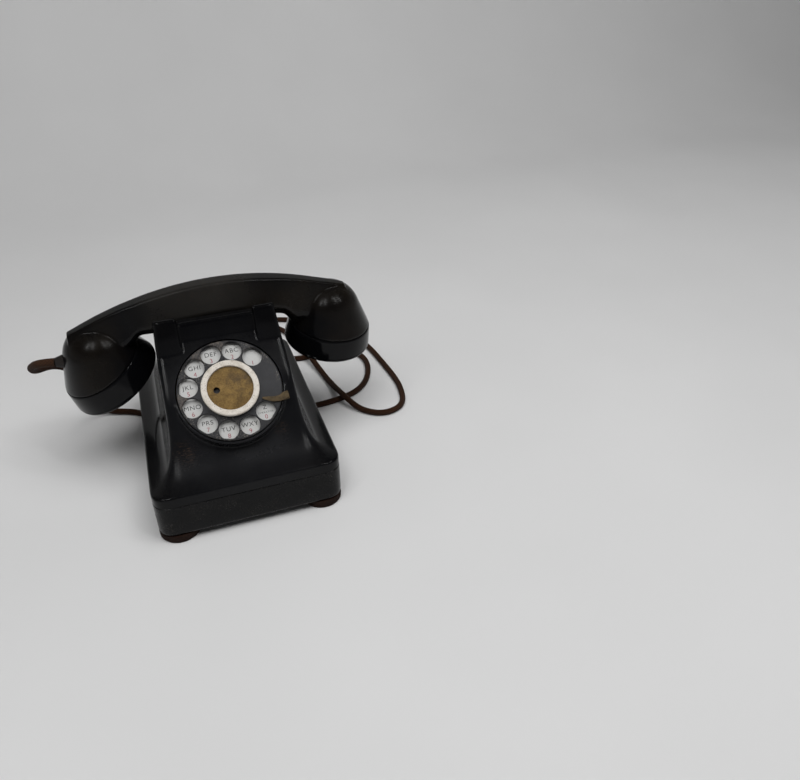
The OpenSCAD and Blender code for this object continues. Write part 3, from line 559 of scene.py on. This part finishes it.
def smoothRoute(points, step):
    # an even walk along a curve through the points, eased so that no bend is sharp, never below the table
    p = np.array(points, float)
    fine = []
    for i in range(len(p) - 1):
        b, c = p[i], p[i + 1]
        a = p[i - 1] if i else 2 * b - c
        d = p[i + 2] if i + 2 < len(p) else 2 * c - b
        k = np.cumsum([0] + [np.linalg.norm(v) ** 0.5 for v in (b - a, c - b, d - c)])
        for t in np.linspace(k[1], k[2], 24, endpoint=False):
            ab = ((k[1] - t) * a + (t - k[0]) * b) / (k[1] - k[0])
            bc = ((k[2] - t) * b + (t - k[1]) * c) / (k[2] - k[1])
            cd = ((k[3] - t) * c + (t - k[2]) * d) / (k[3] - k[2])
            abc = ((k[2] - t) * ab + (t - k[0]) * bc) / (k[2] - k[0])
            bcd = ((k[3] - t) * bc + (t - k[1]) * cd) / (k[3] - k[1])
            fine.append(((k[2] - t) * abc + (t - k[1]) * bcd) / (k[2] - k[1]))
    fine = np.array(fine + [p[-1]])
    fine[:, 2] = np.maximum(fine[:, 2], lie)
    for spacing, passes in ((1.0, 60), (step, 0)):
        length = np.concatenate([[0], np.cumsum(np.linalg.norm(np.diff(fine, axis=0), axis=1))])
        marks = np.linspace(0, length[-1], int(length[-1] / spacing) + 1)
        fine = np.stack([np.interp(marks, length, fine[:, k]) for k in range(3)], axis=1)
        for _ in range(passes):
            fine[1:-1] = (fine[:-2] + 2 * fine[1:-1] + fine[2:]) / 4
    return fine


def braidedTube(name, path, radii, depth):
    sides, count = cord["sides"], len(path)
    along = np.gradient(path, axis=0)
    along /= np.linalg.norm(along, axis=1)[:, None]
    side = np.cross(along, (0, 0, 1))
    side /= np.linalg.norm(side, axis=1)[:, None]
    up = np.cross(side, along)
    marks = np.concatenate([[0], np.cumsum(np.linalg.norm(np.diff(path, axis=0), axis=1))])
    verts, faces, uvs = [], [], []
    for i in range(count):
        phase = 2 * math.pi * marks[i] / cord["pitch"]
        for k in range(sides):
            turn = 2 * math.pi * k / sides
            crest = max(math.sin(cord["strands"] * turn + phase), math.sin(cord["strands"] * turn - phase))
            reach = radii[i] - depth * (1 - max(0, crest))
            verts.append(atBase(path[i] + reach * (math.cos(turn) * side[i] + math.sin(turn) * up[i])))
    for i in range(count - 1):
        for k in range(sides):
            n = (k + 1) % sides
            faces.append((i * sides + k, i * sides + n, (i + 1) * sides + n, (i + 1) * sides + k))
            uvs += [(k / sides, marks[i]), ((k + 1) / sides, marks[i]),
                    ((k + 1) / sides, marks[i + 1]), (k / sides, marks[i + 1])]
    for end, order in ((0, range(sides - 1, -1, -1)), (count - 1, range(sides))):
        faces.append(tuple(end * sides + k for k in order))
        uvs += [(k / sides, marks[end]) for k in order]
    mesh = bpy.data.meshes.new(name)
    mesh.from_pydata(verts, [], faces)
    mesh.uv_layers.new(name="UVMap").data.foreach_set("uv", np.array(uvs).ravel())
    return mesh


sleeve = {"length": 21, "atEnd": 3.5, "thin": 2.9, "strandDepth": 0.12}


def addCord():
    path = smoothRoute(cordRoute, cord["ringStep"])
    path[0] = cordRoute[0]
    radii = np.full(len(path), cord["diameter"] / 2)
    piece = addPiece("cord_braid", braidedTube("cord_braid", path, radii, cord["strandDepth"]),
                     "braid", None, ["handset_cord"], 80)
    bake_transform(piece)
    count = round(sleeve["length"] / cord["ringStep"])
    taper = np.linspace(sleeve["atEnd"], sleeve["thin"], count)
    atBack = braidedTube("sleeve_base", path[:count], taper, sleeve["strandDepth"])
    atMouth = braidedTube("sleeve_mouth", path[-count:], taper[::-1], sleeve["strandDepth"])
    ends = [addPiece("sleeve_base", atBack, "sleeve", "telephone", (), 80),
            addPiece("sleeve_mouth", atMouth, "sleeve", "handset", (), 80)]


shell = {"seam": 34.3, "ridge": 42.4, "halfTop": 46.2, "leanOut": 0.05, "faceTop": (-30, 116), "wall": 3.4,
         "hornFront": -20.6, "hornTop": 139.6, "rearHornTop": 134.6,
         "seat": 119.3, "seatFront": -8.4, "seatBack": 30,
         "halfWide": 69.5, "halfDeep": 100, "ribX": 28.2, "barFront": (-18, 133.7),
         "collar": 40.6, "bore": 38.9, "collarDeep": 26, "plunger": (36, 11, 4.2),
         "grain": 0.92, "soften": 5}


def drop(z):
    return max(0.0, (shell["faceTop"][1] - z) / (shell["faceTop"][1] - shell["ridge"]))


def halfWidth(z):
    rise = shell["faceTop"][1] - z
    return (shell["halfTop"] + shell["leanOut"] * max(0, rise) + 10 * drop(z) ** 6 + 8.4 * drop(z) ** 25
            - 0.08 * max(0, -rise))


def backY(z):
    rise = shell["faceTop"][1] - z
    return 44 + 0.42 * max(0, rise) + 25.1 * drop(z) ** 4 - 0.14 * max(0, -rise)


def frontLine(step):
    # cove above the ridge, steep face, plane of the dial, front of the horns, as Y and Z
    cove = ((-99, shell["ridge"]), (-79.5, 50.3), (-69, 68.5))
    bend = ((-59.3, 85.3), (-54.3, 94), (-46.9, 100.7))
    (y, z), horn, top = shell["faceTop"], shell["hornFront"], shell["hornTop"]
    corners = [bow(cove, t) for t in np.linspace(0, 1, 25)] + [bow(bend, t) for t in np.linspace(0, 1, 9)]
    corners += [(y, z), ((y + horn) / 2, (z + top) / 2), (horn + 0.5, top - 1.6), (horn + 1.8, top)]
    line = [np.array(corners[0], float)]
    for p in corners[1:]:
        p = np.array(p, float)
        parts = max(1, math.ceil(np.linalg.norm(p - line[-1]) / step))
        line += [line[-1] + (p - line[-1]) * k / parts for k in range(1, parts + 1)]
    return line


def level(front, back, half, r, z):
    # one level of the skin: a rectangle with rounded corners
    corners = [(-half, front), (half, front), (half, back), (-half, back)]
    return [(x, y, z) for x, y in rounded(corners, r * 1.4, 10)]


def outerLevel(p):
    return level(p[0], backY(p[1]), halfWidth(p[1]), 3 + 7 * drop(p[1]) ** 5, p[1])


def lipLevel(inset, z):
    deep, wide = shell["halfDeep"] - inset, shell["halfWide"] - inset
    return level(-deep, deep, wide, 10 - inset, z)


def housingHollow():
    wall, top = shell["wall"], shell["seat"] - 4.5
    under = [p for p in frontLine(8) if shell["ridge"] + 1 < p[1] < top]
    slope = math.tan(math.radians(dial["slope"]))
    under.append((shell["faceTop"][0] - (shell["faceTop"][1] - top) / slope, top))
    rings = [lipLevel(wall, shell["seam"] - 1), lipLevel(wall, shell["ridge"] - wall - 0.4)]
    rings += [level(y + wall * 1.5, backY(z) - wall * 1.25, halfWidth(z) - wall,
                    max(1, 2 + 7 * drop(z) ** 5), z - wall * drop(z) ** 4) for y, z in under]
    return skin("hollow", rings)


def cradleCuts():
    front, back, seat = shell["seatFront"], shell["seatBack"], shell["seat"]
    horn, rear, rib = shell["hornTop"], shell["rearHornTop"], shell["ribX"]
    above = horn + 20  # anywhere clear of the horns
    barY, barZ = shell["barFront"]
    dialY, dialZ = dial["middle"][1:]
    slope = math.tan(math.radians(dial["slope"]))
    trough = rounded([(front - 8.6, above), (front - 8.6, horn + 0.6), (front, horn - 7), (front + 1, seat),
                      (back - 1, seat), (back, rear - 5), (back + 5, rear + 0.6), (back + 5, above)],
                     [0.1, 2, 5, 7, 7, 5, 2, 0.1], 8)
    lowered = [(back - 2, rear), (70, rear), (70, above), (back - 2, above)]
    recess = [(-70, dialZ + (-70 - dialY) * slope), (dialY + 28 / slope, dialZ + 28), (barY, barZ),
              (barY + 2, barZ + 0.9), (front + 3, barZ + 0.9), (front + 3, above), (-70, above)]
    behind = [(back - 3, above), (back - 3, barZ), (38, barZ), (40, 131), (41, 124), (70, 124), (70, above)]
    turns = np.linspace(0, 2 * math.pi, 72, endpoint=False)
    scoop = [(66 + 20 * math.cos(a), 106 + 20 * math.sin(a)) for a in turns]
    cuts = [across("trough", -60, 60, trough), across("lowered", -60, 60, lowered)]
    return cuts + [across("middle", -rib, rib, outline) for outline in (recess, behind, scoop)]


def addHousing():
    seam, ridge = shell["seam"], shell["ridge"]
    rings = [lipLevel(0, seam - 3), lipLevel(0, seam + 1)]
    rings += [lipLevel(0.1, ridge - 1.2), lipLevel(0.4, ridge - 0.4)]
    rings += [outerLevel(p) for p in frontLine(0.8)]
    body = carve(skin("housing_shell", rings), *cradleCuts())
    collar = rod("collar", shell["collar"], -shell["collarDeep"], -1.2, 180, dialHome)
    body = mould(gather(body, collar), shell["grain"], shell["soften"])
    x, y, r = shell["plunger"]
    bores = [rod("bore", r, 100, shell["seat"] + 3, 40, Matrix.Translation((side, y, 0))) for side in (-x, x)]
    below = across("below", -90, 90, [(-120, 20), (120, 20), (120, seam), (-120, seam)])
    mouth = rod("mouth", shell["bore"], -60, 10, 240, dialHome)
    carve(body, below, housingHollow(), mouth, gather(*bores))
    addPiece("housing_shell", body, "housing", "telephone", ["housing"])


handset = {"lean": 8, "turnsOver": (0, 11, 120), "top": 154.6, "half": 16.6,
           "capR": 36.9, "neckR": 30.5, "hollowR": 27,
           "mouthAt": (-88.4, 95.7), "mouthTilt": -27, "earAt": (93.7, 99.8), "earTilt": 8.7, "depth": 19,
           "mouthDome": (-87.2, 104.1, 26.5), "earDome": (93.5, 109.3, 25.7), "bushAt": (-113.8, -2, 105),
           "grain": 0.7, "soften": 9}
# sections of the handle's two ends: how far along, lowest, highest and half width
leftRows = [(-106, 113, 127.4, 10), (-101, 110, 129.4, 12), (-93, 107, 132.9, 13.2), (-84, 104, 136.8, 14),
            (-72, 104.5, 141.2, 14.7), (-64.5, 107, 143.7, 15), (-60.5, 113.5, 144.7, 15.2),
            (-58, 119, 145.4, 15.3), (-54, 121.5, 146.5, 15.6)]
rightRows = [(56, 118.4, 149, 15.5), (61, 107, 147.9, 15.2), (72, 104.5, 144.9, 14.7), (84, 104, 141, 14),
             (93, 107, 138.2, 13.2), (101, 110, 135.6, 12), (107, 113, 133.2, 10)]
tipX, tipY, tipZ = handset["turnsOver"]
leanHome = (Matrix.Translation((tipX, tipY, tipZ)) @ Matrix.Rotation(math.radians(handset["lean"]), 4, "X")
            @ Matrix.Translation((0, 0, -tipZ)))


def cupHome(at, tilt):
    x, z = at
    return leanHome @ Matrix.Translation((x, 0, z)) @ Matrix.Rotation(math.radians(tilt), 4, "Y")


mouthHome = cupHome(handset["mouthAt"], handset["mouthTilt"])
earHome = cupHome(handset["earAt"], handset["earTilt"])
bushHome = leanHome @ Matrix.Translation(handset["bushAt"]) @ Matrix.Rotation(math.radians(-90), 4, "Y")


def handleSkin():
    # six-cornered sections, narrow on top and widest low down
    top, half = handset["top"], handset["half"]
    middle = [(x, top - 29.2 - x * x / 440, top - (x - 6) ** 2 / 450, half - (x / 48) ** 2 * 0.8)
              for x in range(-48, 49, 6)]
    rows = np.array(leftRows + middle + rightRows, float)
    xs = np.arange(rows[0, 0], rows[-1, 0] + 0.1, 1.5)
    fine = np.stack([np.interp(xs, rows[:, 0], rows[:, k]) for k in range(1, 4)], axis=1)
    for _ in range(4):
        fine[1:-1] = (fine[:-2] + 2 * fine[1:-1] + fine[2:]) / 4
    rings = []
    for x, (low, high, w) in zip(xs, fine):
        wideAt = low + 0.34 * (high - low)
        sole, crown = 0.58 * w, 0.32 * w
        corners = [(-sole, low), (sole, low), (w, wideAt), (crown, high), (-crown, high), (-w, wideAt)]
        rings.append([(x, y, z) for y, z in rounded(corners, [4, 4, 3.5, 1.8, 1.8, 3.5], 6)])
    return skin("handle", rings, leanHome)


def bellSkin(cup, dome):
    # a dome over the middle of the handle's end, drawn down to the seam of its cap
    x, z, r = dome
    turns = np.linspace(0, 2 * math.pi, 120, endpoint=False)
    points = []
    for e in np.linspace(-0.2, math.pi / 2, 34):
        near, high = math.cos(e), z + r * math.sin(e)
        points += [leanHome @ Vector((x + r * math.cos(a) * near, r * math.sin(a) * near, high))
                   for a in turns[::2]]
    seamR = handset["capR"] - 3.9
    points += [cup @ Vector((seamR * math.cos(a), seamR * math.sin(a), h)) for h in (0, 0.6) for a in turns]
    body = bmesh.new()
    for p in points:
        body.verts.new(p)
    found = bmesh.ops.convex_hull(body, input=body.verts)
    inner = {g for g in found["geom_interior"] if isinstance(g, bmesh.types.BMVert)}
    bmesh.ops.delete(body, geom=list(inner))
    body.verts.index_update()
    corners = [tuple(v.co) for v in body.verts]
    faces = [tuple(v.index for v in f.verts) for f in body.faces]
    body.free()
    return loose("bell", corners, faces)


def addHandset():
    neck, hollow = handset["neckR"], handset["hollowR"]
    parts = [bellSkin(mouthHome, handset["mouthDome"]), bellSkin(earHome, handset["earDome"])]
    parts += [rod("neck", neck, -8, 0.3, 120, home) for home in (mouthHome, earHome)]
    parts.append(rod("boss", 5.4, -6, -1.6, 60, bushHome))
    body = mould(gather(handleSkin(), *parts), handset["grain"], handset["soften"])
    inside = [(0, -12), (hollow, -12), (hollow, 3), (14, 20), (0, 22)]
    tools = [turned("hollow", inside, 120, home) for home in (mouthHome, earHome)]
    carve(body, *tools, rod("hole", 3.65, -14, 6, 40, bushHome), rod("hole", 5.4, -1.6, 6, 40, bushHome))
    addPiece("handset_grip", body, "handset", "handset", ["handset_body"])


def addCap(name, node, home, rim, rings, holeR):
    # screw cap: flared side with a fine bead above the rim, and a dished face with its sound holes
    depth, bore, seam = handset["depth"], handset["neckR"] + 0.05, handset["capR"] - 3.3
    side = ((seam, -0.8), ((seam + rim) / 2 + 0.5, -depth / 2), (rim, -depth + 3.2))
    profile = [(bore, -0.25), (seam - 0.7, -0.25), (seam - 0.3, -0.4)]
    profile += [tuple(bow(side, t)) for t in np.linspace(0, 1, 13)]
    profile += [(rim - 0.45, -depth + 2.9), (rim - 0.45, -depth + 2.75), (rim - 0.1, -depth + 2.4),
                (rim - 0.1, -depth + 1.6), (rim - 0.35, -depth + 0.8), (rim - 0.9, -depth + 0.2),
                (rim - 1.7, -depth), (rim - 5, -depth), (rim - 7, -depth + 0.3), (rim - 11, -depth + 1.4),
                (0, -depth + 1.4), (0, -depth + 4), (bore - 4, -depth + 4), (bore - 4, -8.3), (bore, -8.3)]
    spots = [(0, 0)] + [(r * math.cos(a), r * math.sin(a)) for count, r in rings
                        for a in (2 * math.pi * k / count for k in range(count))]
    drills = [rod("drill", holeR, -depth - 1, -depth + 7, 24, home @ Matrix.Translation((x, y, 0)))
              for x, y in spots]
    cap = carve(turned(name, profile, 200, home), gather(*drills))
    addPiece(name, cap, "caps", "handset", [node], 28)


wheel = {"r": 38.1, "thick": 2, "rim": 2.2, "hubR": 19.6, "hubHigh": 3.4, "bore": 3.05,
         "holeR": 7.25, "holeRing": 30.2, "firstHole": 46.5, "step": 30}


def addWheel():
    r, thick, rim, hub, high, bore = (wheel[k] for k in ("r", "thick", "rim", "hubR", "hubHigh", "bore"))
    skirt = -thick - rim
    profile = [(bore, -thick), (r - 1.8, -thick), (r - 1.8, skirt), (r - 0.5, skirt), (r - 0.1, skirt + 0.3),
               (r, skirt + 0.8), (r, -1), (r - 0.15, -0.6), (r - 0.5, -0.25), (r - 1, -0.08), (r - 1.6, 0),
               (hub + 1.2, 0), (hub + 0.5, 0.25), (hub + 0.15, 0.7), (hub, 1.2), (hub, high - 0.2),
               (hub - 0.2, high), (hub - 1.2, high), (hub - 1.2, 0), (bore, 0)]
    hole = wheel["holeR"]
    drill = [(0, -thick - 1), (hole, -thick - 1), (hole, -0.55), (hole + 0.15, -0.25), (hole + 0.5, 0.03),
             (hole + 0.5, 1), (0, 1)]
    drills = []
    for i in range(10):
        home = dialHome @ Matrix.Rotation(math.radians(wheel["firstHole"] + i * wheel["step"]), 4, "Z")
        drills.append(turned("drill", drill, 72, home @ Matrix.Translation((wheel["holeRing"], 0, 0))))
    body = carve(turned("finger_disc", profile, 240, dialHome), gather(*drills))
    addPiece("finger_disc", body, "wheel", "dial_wheel", ["finger_wheel"], 32)


stop = {"above": 0.9, "thick": 1.2, "springs": 0.014, "bendsAt": 38, "edge": 0.35,
        "blade": [(21, -11), (25.5, -11.2), (29.3, -12.2), (33.3, -12.2), (36.5, -10.2), (40.4, -9.5),
                  (40.8, -14.4), (37, -16), (32.4, -16.3), (28, -15.6), (24.4, -14), (21, -12.2)],
        "foot": [(37.9, -9.8), (40.4, -9.6), (40.8, -15.3), (36, -15.6)]}


def addStop():
    # a brass tongue, bent down at its root and sprung up a little at its tip
    outline = rounded(stop["blade"], 1.4, 5)
    sprung = [stop["springs"] * max(0, stop["bendsAt"] - x) for x, y in outline]
    rings = [[(x, y, low + z) for (x, y), z in zip(outline, sprung)]
             for low in (stop["above"], stop["above"] + stop["thick"])]
    root = [[(x, y, z) for x, y in rounded(stop["foot"], 0.5, 3)] for z in (-1.2, 1.5)]
    body = carve(skin("stop_tongue", rings, dialHome), skin("root", root, dialHome), kind="UNION")
    edge = body.modifiers.new("edge", "BEVEL")
    edge.width, edge.segments = stop["edge"] * mm, 3
    edge.limit_method, edge.angle_limit = "ANGLE", math.radians(40)
    addPiece("stop_tongue", worked(body), "stop", "telephone", ["finger_stop"], 50)


pan = {"halfWide": 69.5, "halfDeep": 100, "low": 6.4, "high": 34.3, "sheet": 2, "corner": 10, "bend": 3.2,
       "step": 0.45, "grommets": ((22, 18.5), (-30, 18.5)), "screws": ((-24, -89), (24, -89), (0, 88)),
       "feet": ((-54.5, -85.5), (-54.5, 85.5), (54.5, -85.5), (54.5, 85.5))}


def panLevel(inset, z):
    deep, wide = pan["halfDeep"] - inset, pan["halfWide"] - inset
    return level(-deep, deep, wide, pan["corner"] - inset / 2, z)


def addPan():
    # pressed steel tray with a rolled foot edge and a fine step under the housing
    low, high, bend, sheet, step = (pan[k] for k in ("low", "high", "bend", "sheet", "step"))
    turns = np.linspace(0, math.pi / 2, 9)
    rings = [panLevel(bend * (1 - math.sin(a)), low + bend * (1 - math.cos(a))) for a in turns]
    rings += [panLevel(0, z) for z in np.linspace(low + bend + 4, high - 1.1, 5)]
    rings += [panLevel(step, high - 0.7), panLevel(step, high)]
    inner = skin("inner", [panLevel(3.4, low + 2), panLevel(sheet, low + 5), panLevel(sheet, high + 1)])
    turn = Matrix.Rotation(math.radians(-90), 4, "X")
    drills = [rod("drill", 5, -8, 12, 48, Matrix.Translation((x, pan["halfDeep"], z)) @ turn)
              for x, z in pan["grommets"]]
    drills += [rod("drill", 2.2, 0, 20, 32, Matrix.Translation((x, y, 0))) for x, y in pan["screws"]]
    drills += [rod("drill", 1.5, 0, 20, 32, Matrix.Translation((x, y, 0))) for x, y in pan["feet"]]
    body = carve(skin("pan_tray", rings), inner, gather(*drills))
    addPiece("pan_tray", body, "pan", "telephone", ["base_pan"], 30)


foot = {"r": 15.25, "high": 6.4, "ragged": 0.352, "layers": 4, "sides": 96,
        "bulge": 0.35, "groove": 0.22, "edge": 0.45}


def addFeet():
    # discs punched from layered leather, their edges fretted and a little spread by the weight
    rng = np.random.default_rng(5)
    things = []
    n, outer, high, layers = (foot[k] for k in ("sides", "r", "high", "layers"))
    for x, y in pan["feet"]:
        profile = [(3.2, 0), (outer - 1, 0)]
        for h in np.linspace(0, 1, 4 * layers + 1):
            r = outer - foot["bulge"] * abs(2 * h - 1) ** 2
            r -= foot["groove"] * abs(math.cos(math.pi * layers * h)) ** 8
            profile.append((r - foot["edge"] if h in (0, 1) else r, h * high))
        profile += [(outer - 1.2, high), (1.5, high), (1.5, 2.5), (3.2, 2.5)]
        wander = rng.normal(0, 1, (len(profile), n))
        for _ in range(3):
            wander = (np.roll(wander, 1, 1) + 2 * wander + np.roll(wander, -1, 1)) / 4
        points = []
        for i in range(n):
            a = 2 * math.pi * i / n
            for j, (r, z) in enumerate(profile):
                if r > outer - 1.6:
                    r -= foot["ragged"] * abs(wander[j, i])
                points.append((x + r * math.cos(a), y + r * math.sin(a), z))
        m = len(profile)
        faces = [(i * m + j, i * m + (j + 1) % m, (i + 1) % n * m + (j + 1) % m, (i + 1) % n * m + j)
                 for i in range(n) for j in range(m)]
        things.append(loose("foot", points, faces))
    addPiece("leather_feet", gather(*things), "leather", "telephone", ["feet"], 50)


figures = {"letterSize": 4.7, "letterWide": 1.06, "letterUp": 1.3, "lastUp": 3.6,
           "wordSize": 1.755, "wordWide": 1.2, "wordDown": 0.3,
           "digitSize": 4.7, "digitDown": 3.7, "digitThin": 0.02, "thick": 0.03, "plateTop": -5}
letters = ["", "ABC", "DEF", "GHI", "JKL", "MNO", "PRS", "TUV", "WXY", "Z"]


def dialMatrix(x, y, z):
    # a place on the dial, in metres
    home = Matrix.Translation(atBase(dial["middle"])) @ dialTurn
    return home @ Matrix.Translation((x * mm, y * mm, z * mm))


def figure(text, x, y, size, wide=1, thin=0):
    curve = bpy.data.curves.new("figure", "FONT")
    curve.body = text
    curve.align_x = curve.align_y = "CENTER"
    curve.size = size
    curve.space_character = 1.12
    curve.offset = -thin
    curve.extrude = figures["thick"]
    holder = bpy.data.objects.new("figure", curve)
    bpy.context.collection.objects.link(holder)
    shape = bpy.data.meshes.new_from_object(holder.evaluated_get(bpy.context.evaluated_depsgraph_get()))
    bpy.data.objects.remove(holder)
    shape.transform(dialMatrix(x, y, figures["plateTop"]) @ Matrix.Diagonal((wide * mm, mm, mm, 1)))
    return shape


def joinShapes(name, shapes):
    whole = bmesh.new()
    for shape in shapes:
        whole.from_mesh(shape)
        bpy.data.meshes.remove(shape)
    mesh = bpy.data.meshes.new(name)
    whole.to_mesh(mesh)
    whole.free()
    return mesh


def addFigures():
    black, red = [], []
    for i, text in enumerate(letters):
        angle = math.radians(wheel["firstHole"] + i * wheel["step"])
        x, y = wheel["holeRing"] * math.cos(angle), wheel["holeRing"] * math.sin(angle)
        digit, low = str((i + 1) % 10), y - figures["digitDown"]
        red.append(figure(digit, x - 0.2, low, figures["digitSize"], 1, figures["digitThin"]))
        if text == "Z":
            black.append(figure(text, x, y + figures["lastUp"], figures["letterSize"]))
            word = y - figures["wordDown"]
            black.append(figure("OPERATOR", x, word, figures["wordSize"], figures["wordWide"]))
        elif text:
            up = y + figures["letterUp"]
            black.append(figure(text, x + 0.1, up, figures["letterSize"], figures["letterWide"]))
    addPiece("dial_letters", joinShapes("dial_letters", black), "ink", "telephone")
    addPiece("dial_digits", joinShapes("dial_digits", red), "redInk", "telephone")


floor = {"front": -1.6, "back": 0.62, "bend": 0.5, "top": 2.6, "halfWide": 2.4, "steps": 24}


def addStage():
    # a paper sweep: flat floor, a quarter round behind, and up
    mat, tree, shader = newMaterial("paper", (0.72, 0.73, 0.73), 0.85)
    tone = noise(tree, coords(tree), 0.004, 2, 0.5, 0.3, 0.7)
    join(tree, blendColour(tree, tone, (0.66, 0.66, 0.66), (0.69, 0.69, 0.69)), shader.inputs["Base Color"])
    back, bend, wide, steps = (floor[k] for k in ("back", "bend", "halfWide", "steps"))
    line = [(floor["front"], 0.0), (back, 0.0)]
    for k in range(1, steps + 1):
        a = math.pi / 2 * k / steps
        line.append((back + bend * math.sin(a), bend - bend * math.cos(a)))
    line.append((back + bend, floor["top"]))
    verts = [(x, y, z) for y, z in line for x in (-wide, wide)]
    faces = [(2 * i, 2 * i + 1, 2 * i + 3, 2 * i + 2) for i in range(len(line) - 1)]
    mesh = bpy.data.meshes.new("sweep")
    mesh.from_pydata(verts, [], faces)
    mesh.polygons.foreach_set("use_smooth", [True] * len(mesh.polygons))
    mesh.materials.append(mat)
    sweep = bpy.data.objects.new("sweep", mesh)
    bpy.context.collection.objects.link(sweep)
    print("stage: paper sweep")


room = {"walls": 0.30, "overhead": 0.015, "brightTo": 0.10, "darkFrom": 0.50}
lamps = {
    # name: place, looks at, width, depth, watts, and whether the black moulding mirrors it
    "ceiling": ((0.1, -0.45, 1.55), (0.05, -0.25, 0), 1.5, 1.1, 19, False),
    "tubeLeft": ((-0.85, -0.72, 1.5), (0, 0, 0.1), 0.045, 0.6, 2.2, True),
    "tubeMidLeft": ((-0.42, -0.84, 1.5), (0, 0, 0.1), 0.045, 0.6, 2.2, True),
    "tubeMidRight": ((0.56, -0.82, 1.5), (0, 0, 0.1), 0.045, 0.6, 2.2, True),
    "tubeRight": ((1.0, -0.68, 1.5), (0, 0, 0.1), 0.045, 0.6, 2.2, True),
}


def addLights():
    for name, (spot, target, width, depth, watts, mirrored) in lamps.items():
        data = bpy.data.lights.new(name, "AREA")
        data.shape = "RECTANGLE"
        data.size, data.size_y, data.energy = width, depth, watts
        lamp = bpy.data.objects.new(name, data)
        lamp.location = spot
        lamp.visible_glossy = mirrored
        lamp.visible_camera = False
        lamp.rotation_euler = (Vector(target) - Vector(spot)).to_track_quat("-Z", "Y").to_euler()
        bpy.context.collection.objects.link(lamp)
    world = bpy.data.worlds.new("room")
    world.use_nodes = True
    tree = world.node_tree
    tree.nodes["Background"].inputs["Color"].default_value = (1, 1, 1, 1)
    height = place(tree, "SeparateXYZ")
    join(tree, place(tree, "TexCoord").outputs["Generated"], height.inputs[0])
    ends = [room[k] for k in ("brightTo", "darkFrom", "walls", "overhead")]
    fade = spread(tree, height.outputs["Z"], *ends)
    join(tree, fade, tree.nodes["Background"].inputs["Strength"])
    bpy.context.scene.world = world
    bpy.context.scene.view_settings.view_transform = "Standard"
    print("lights:", len(lamps))


addCamera()
addCord()
finishNodes()
addHousing()
addHandset()
addCap("mouth_screw_cap", "mouth_cap", mouthHome, handset["capR"], ((6, 7), (12, 14)), 1.5)
addCap("ear_screw_cap", "ear_cap", earHome, handset["capR"] - 1.3, ((6, 6),), 1.25)
addWheel()
addStop()
addPan()
addFeet()
addFigures()
addStage()
addLights()
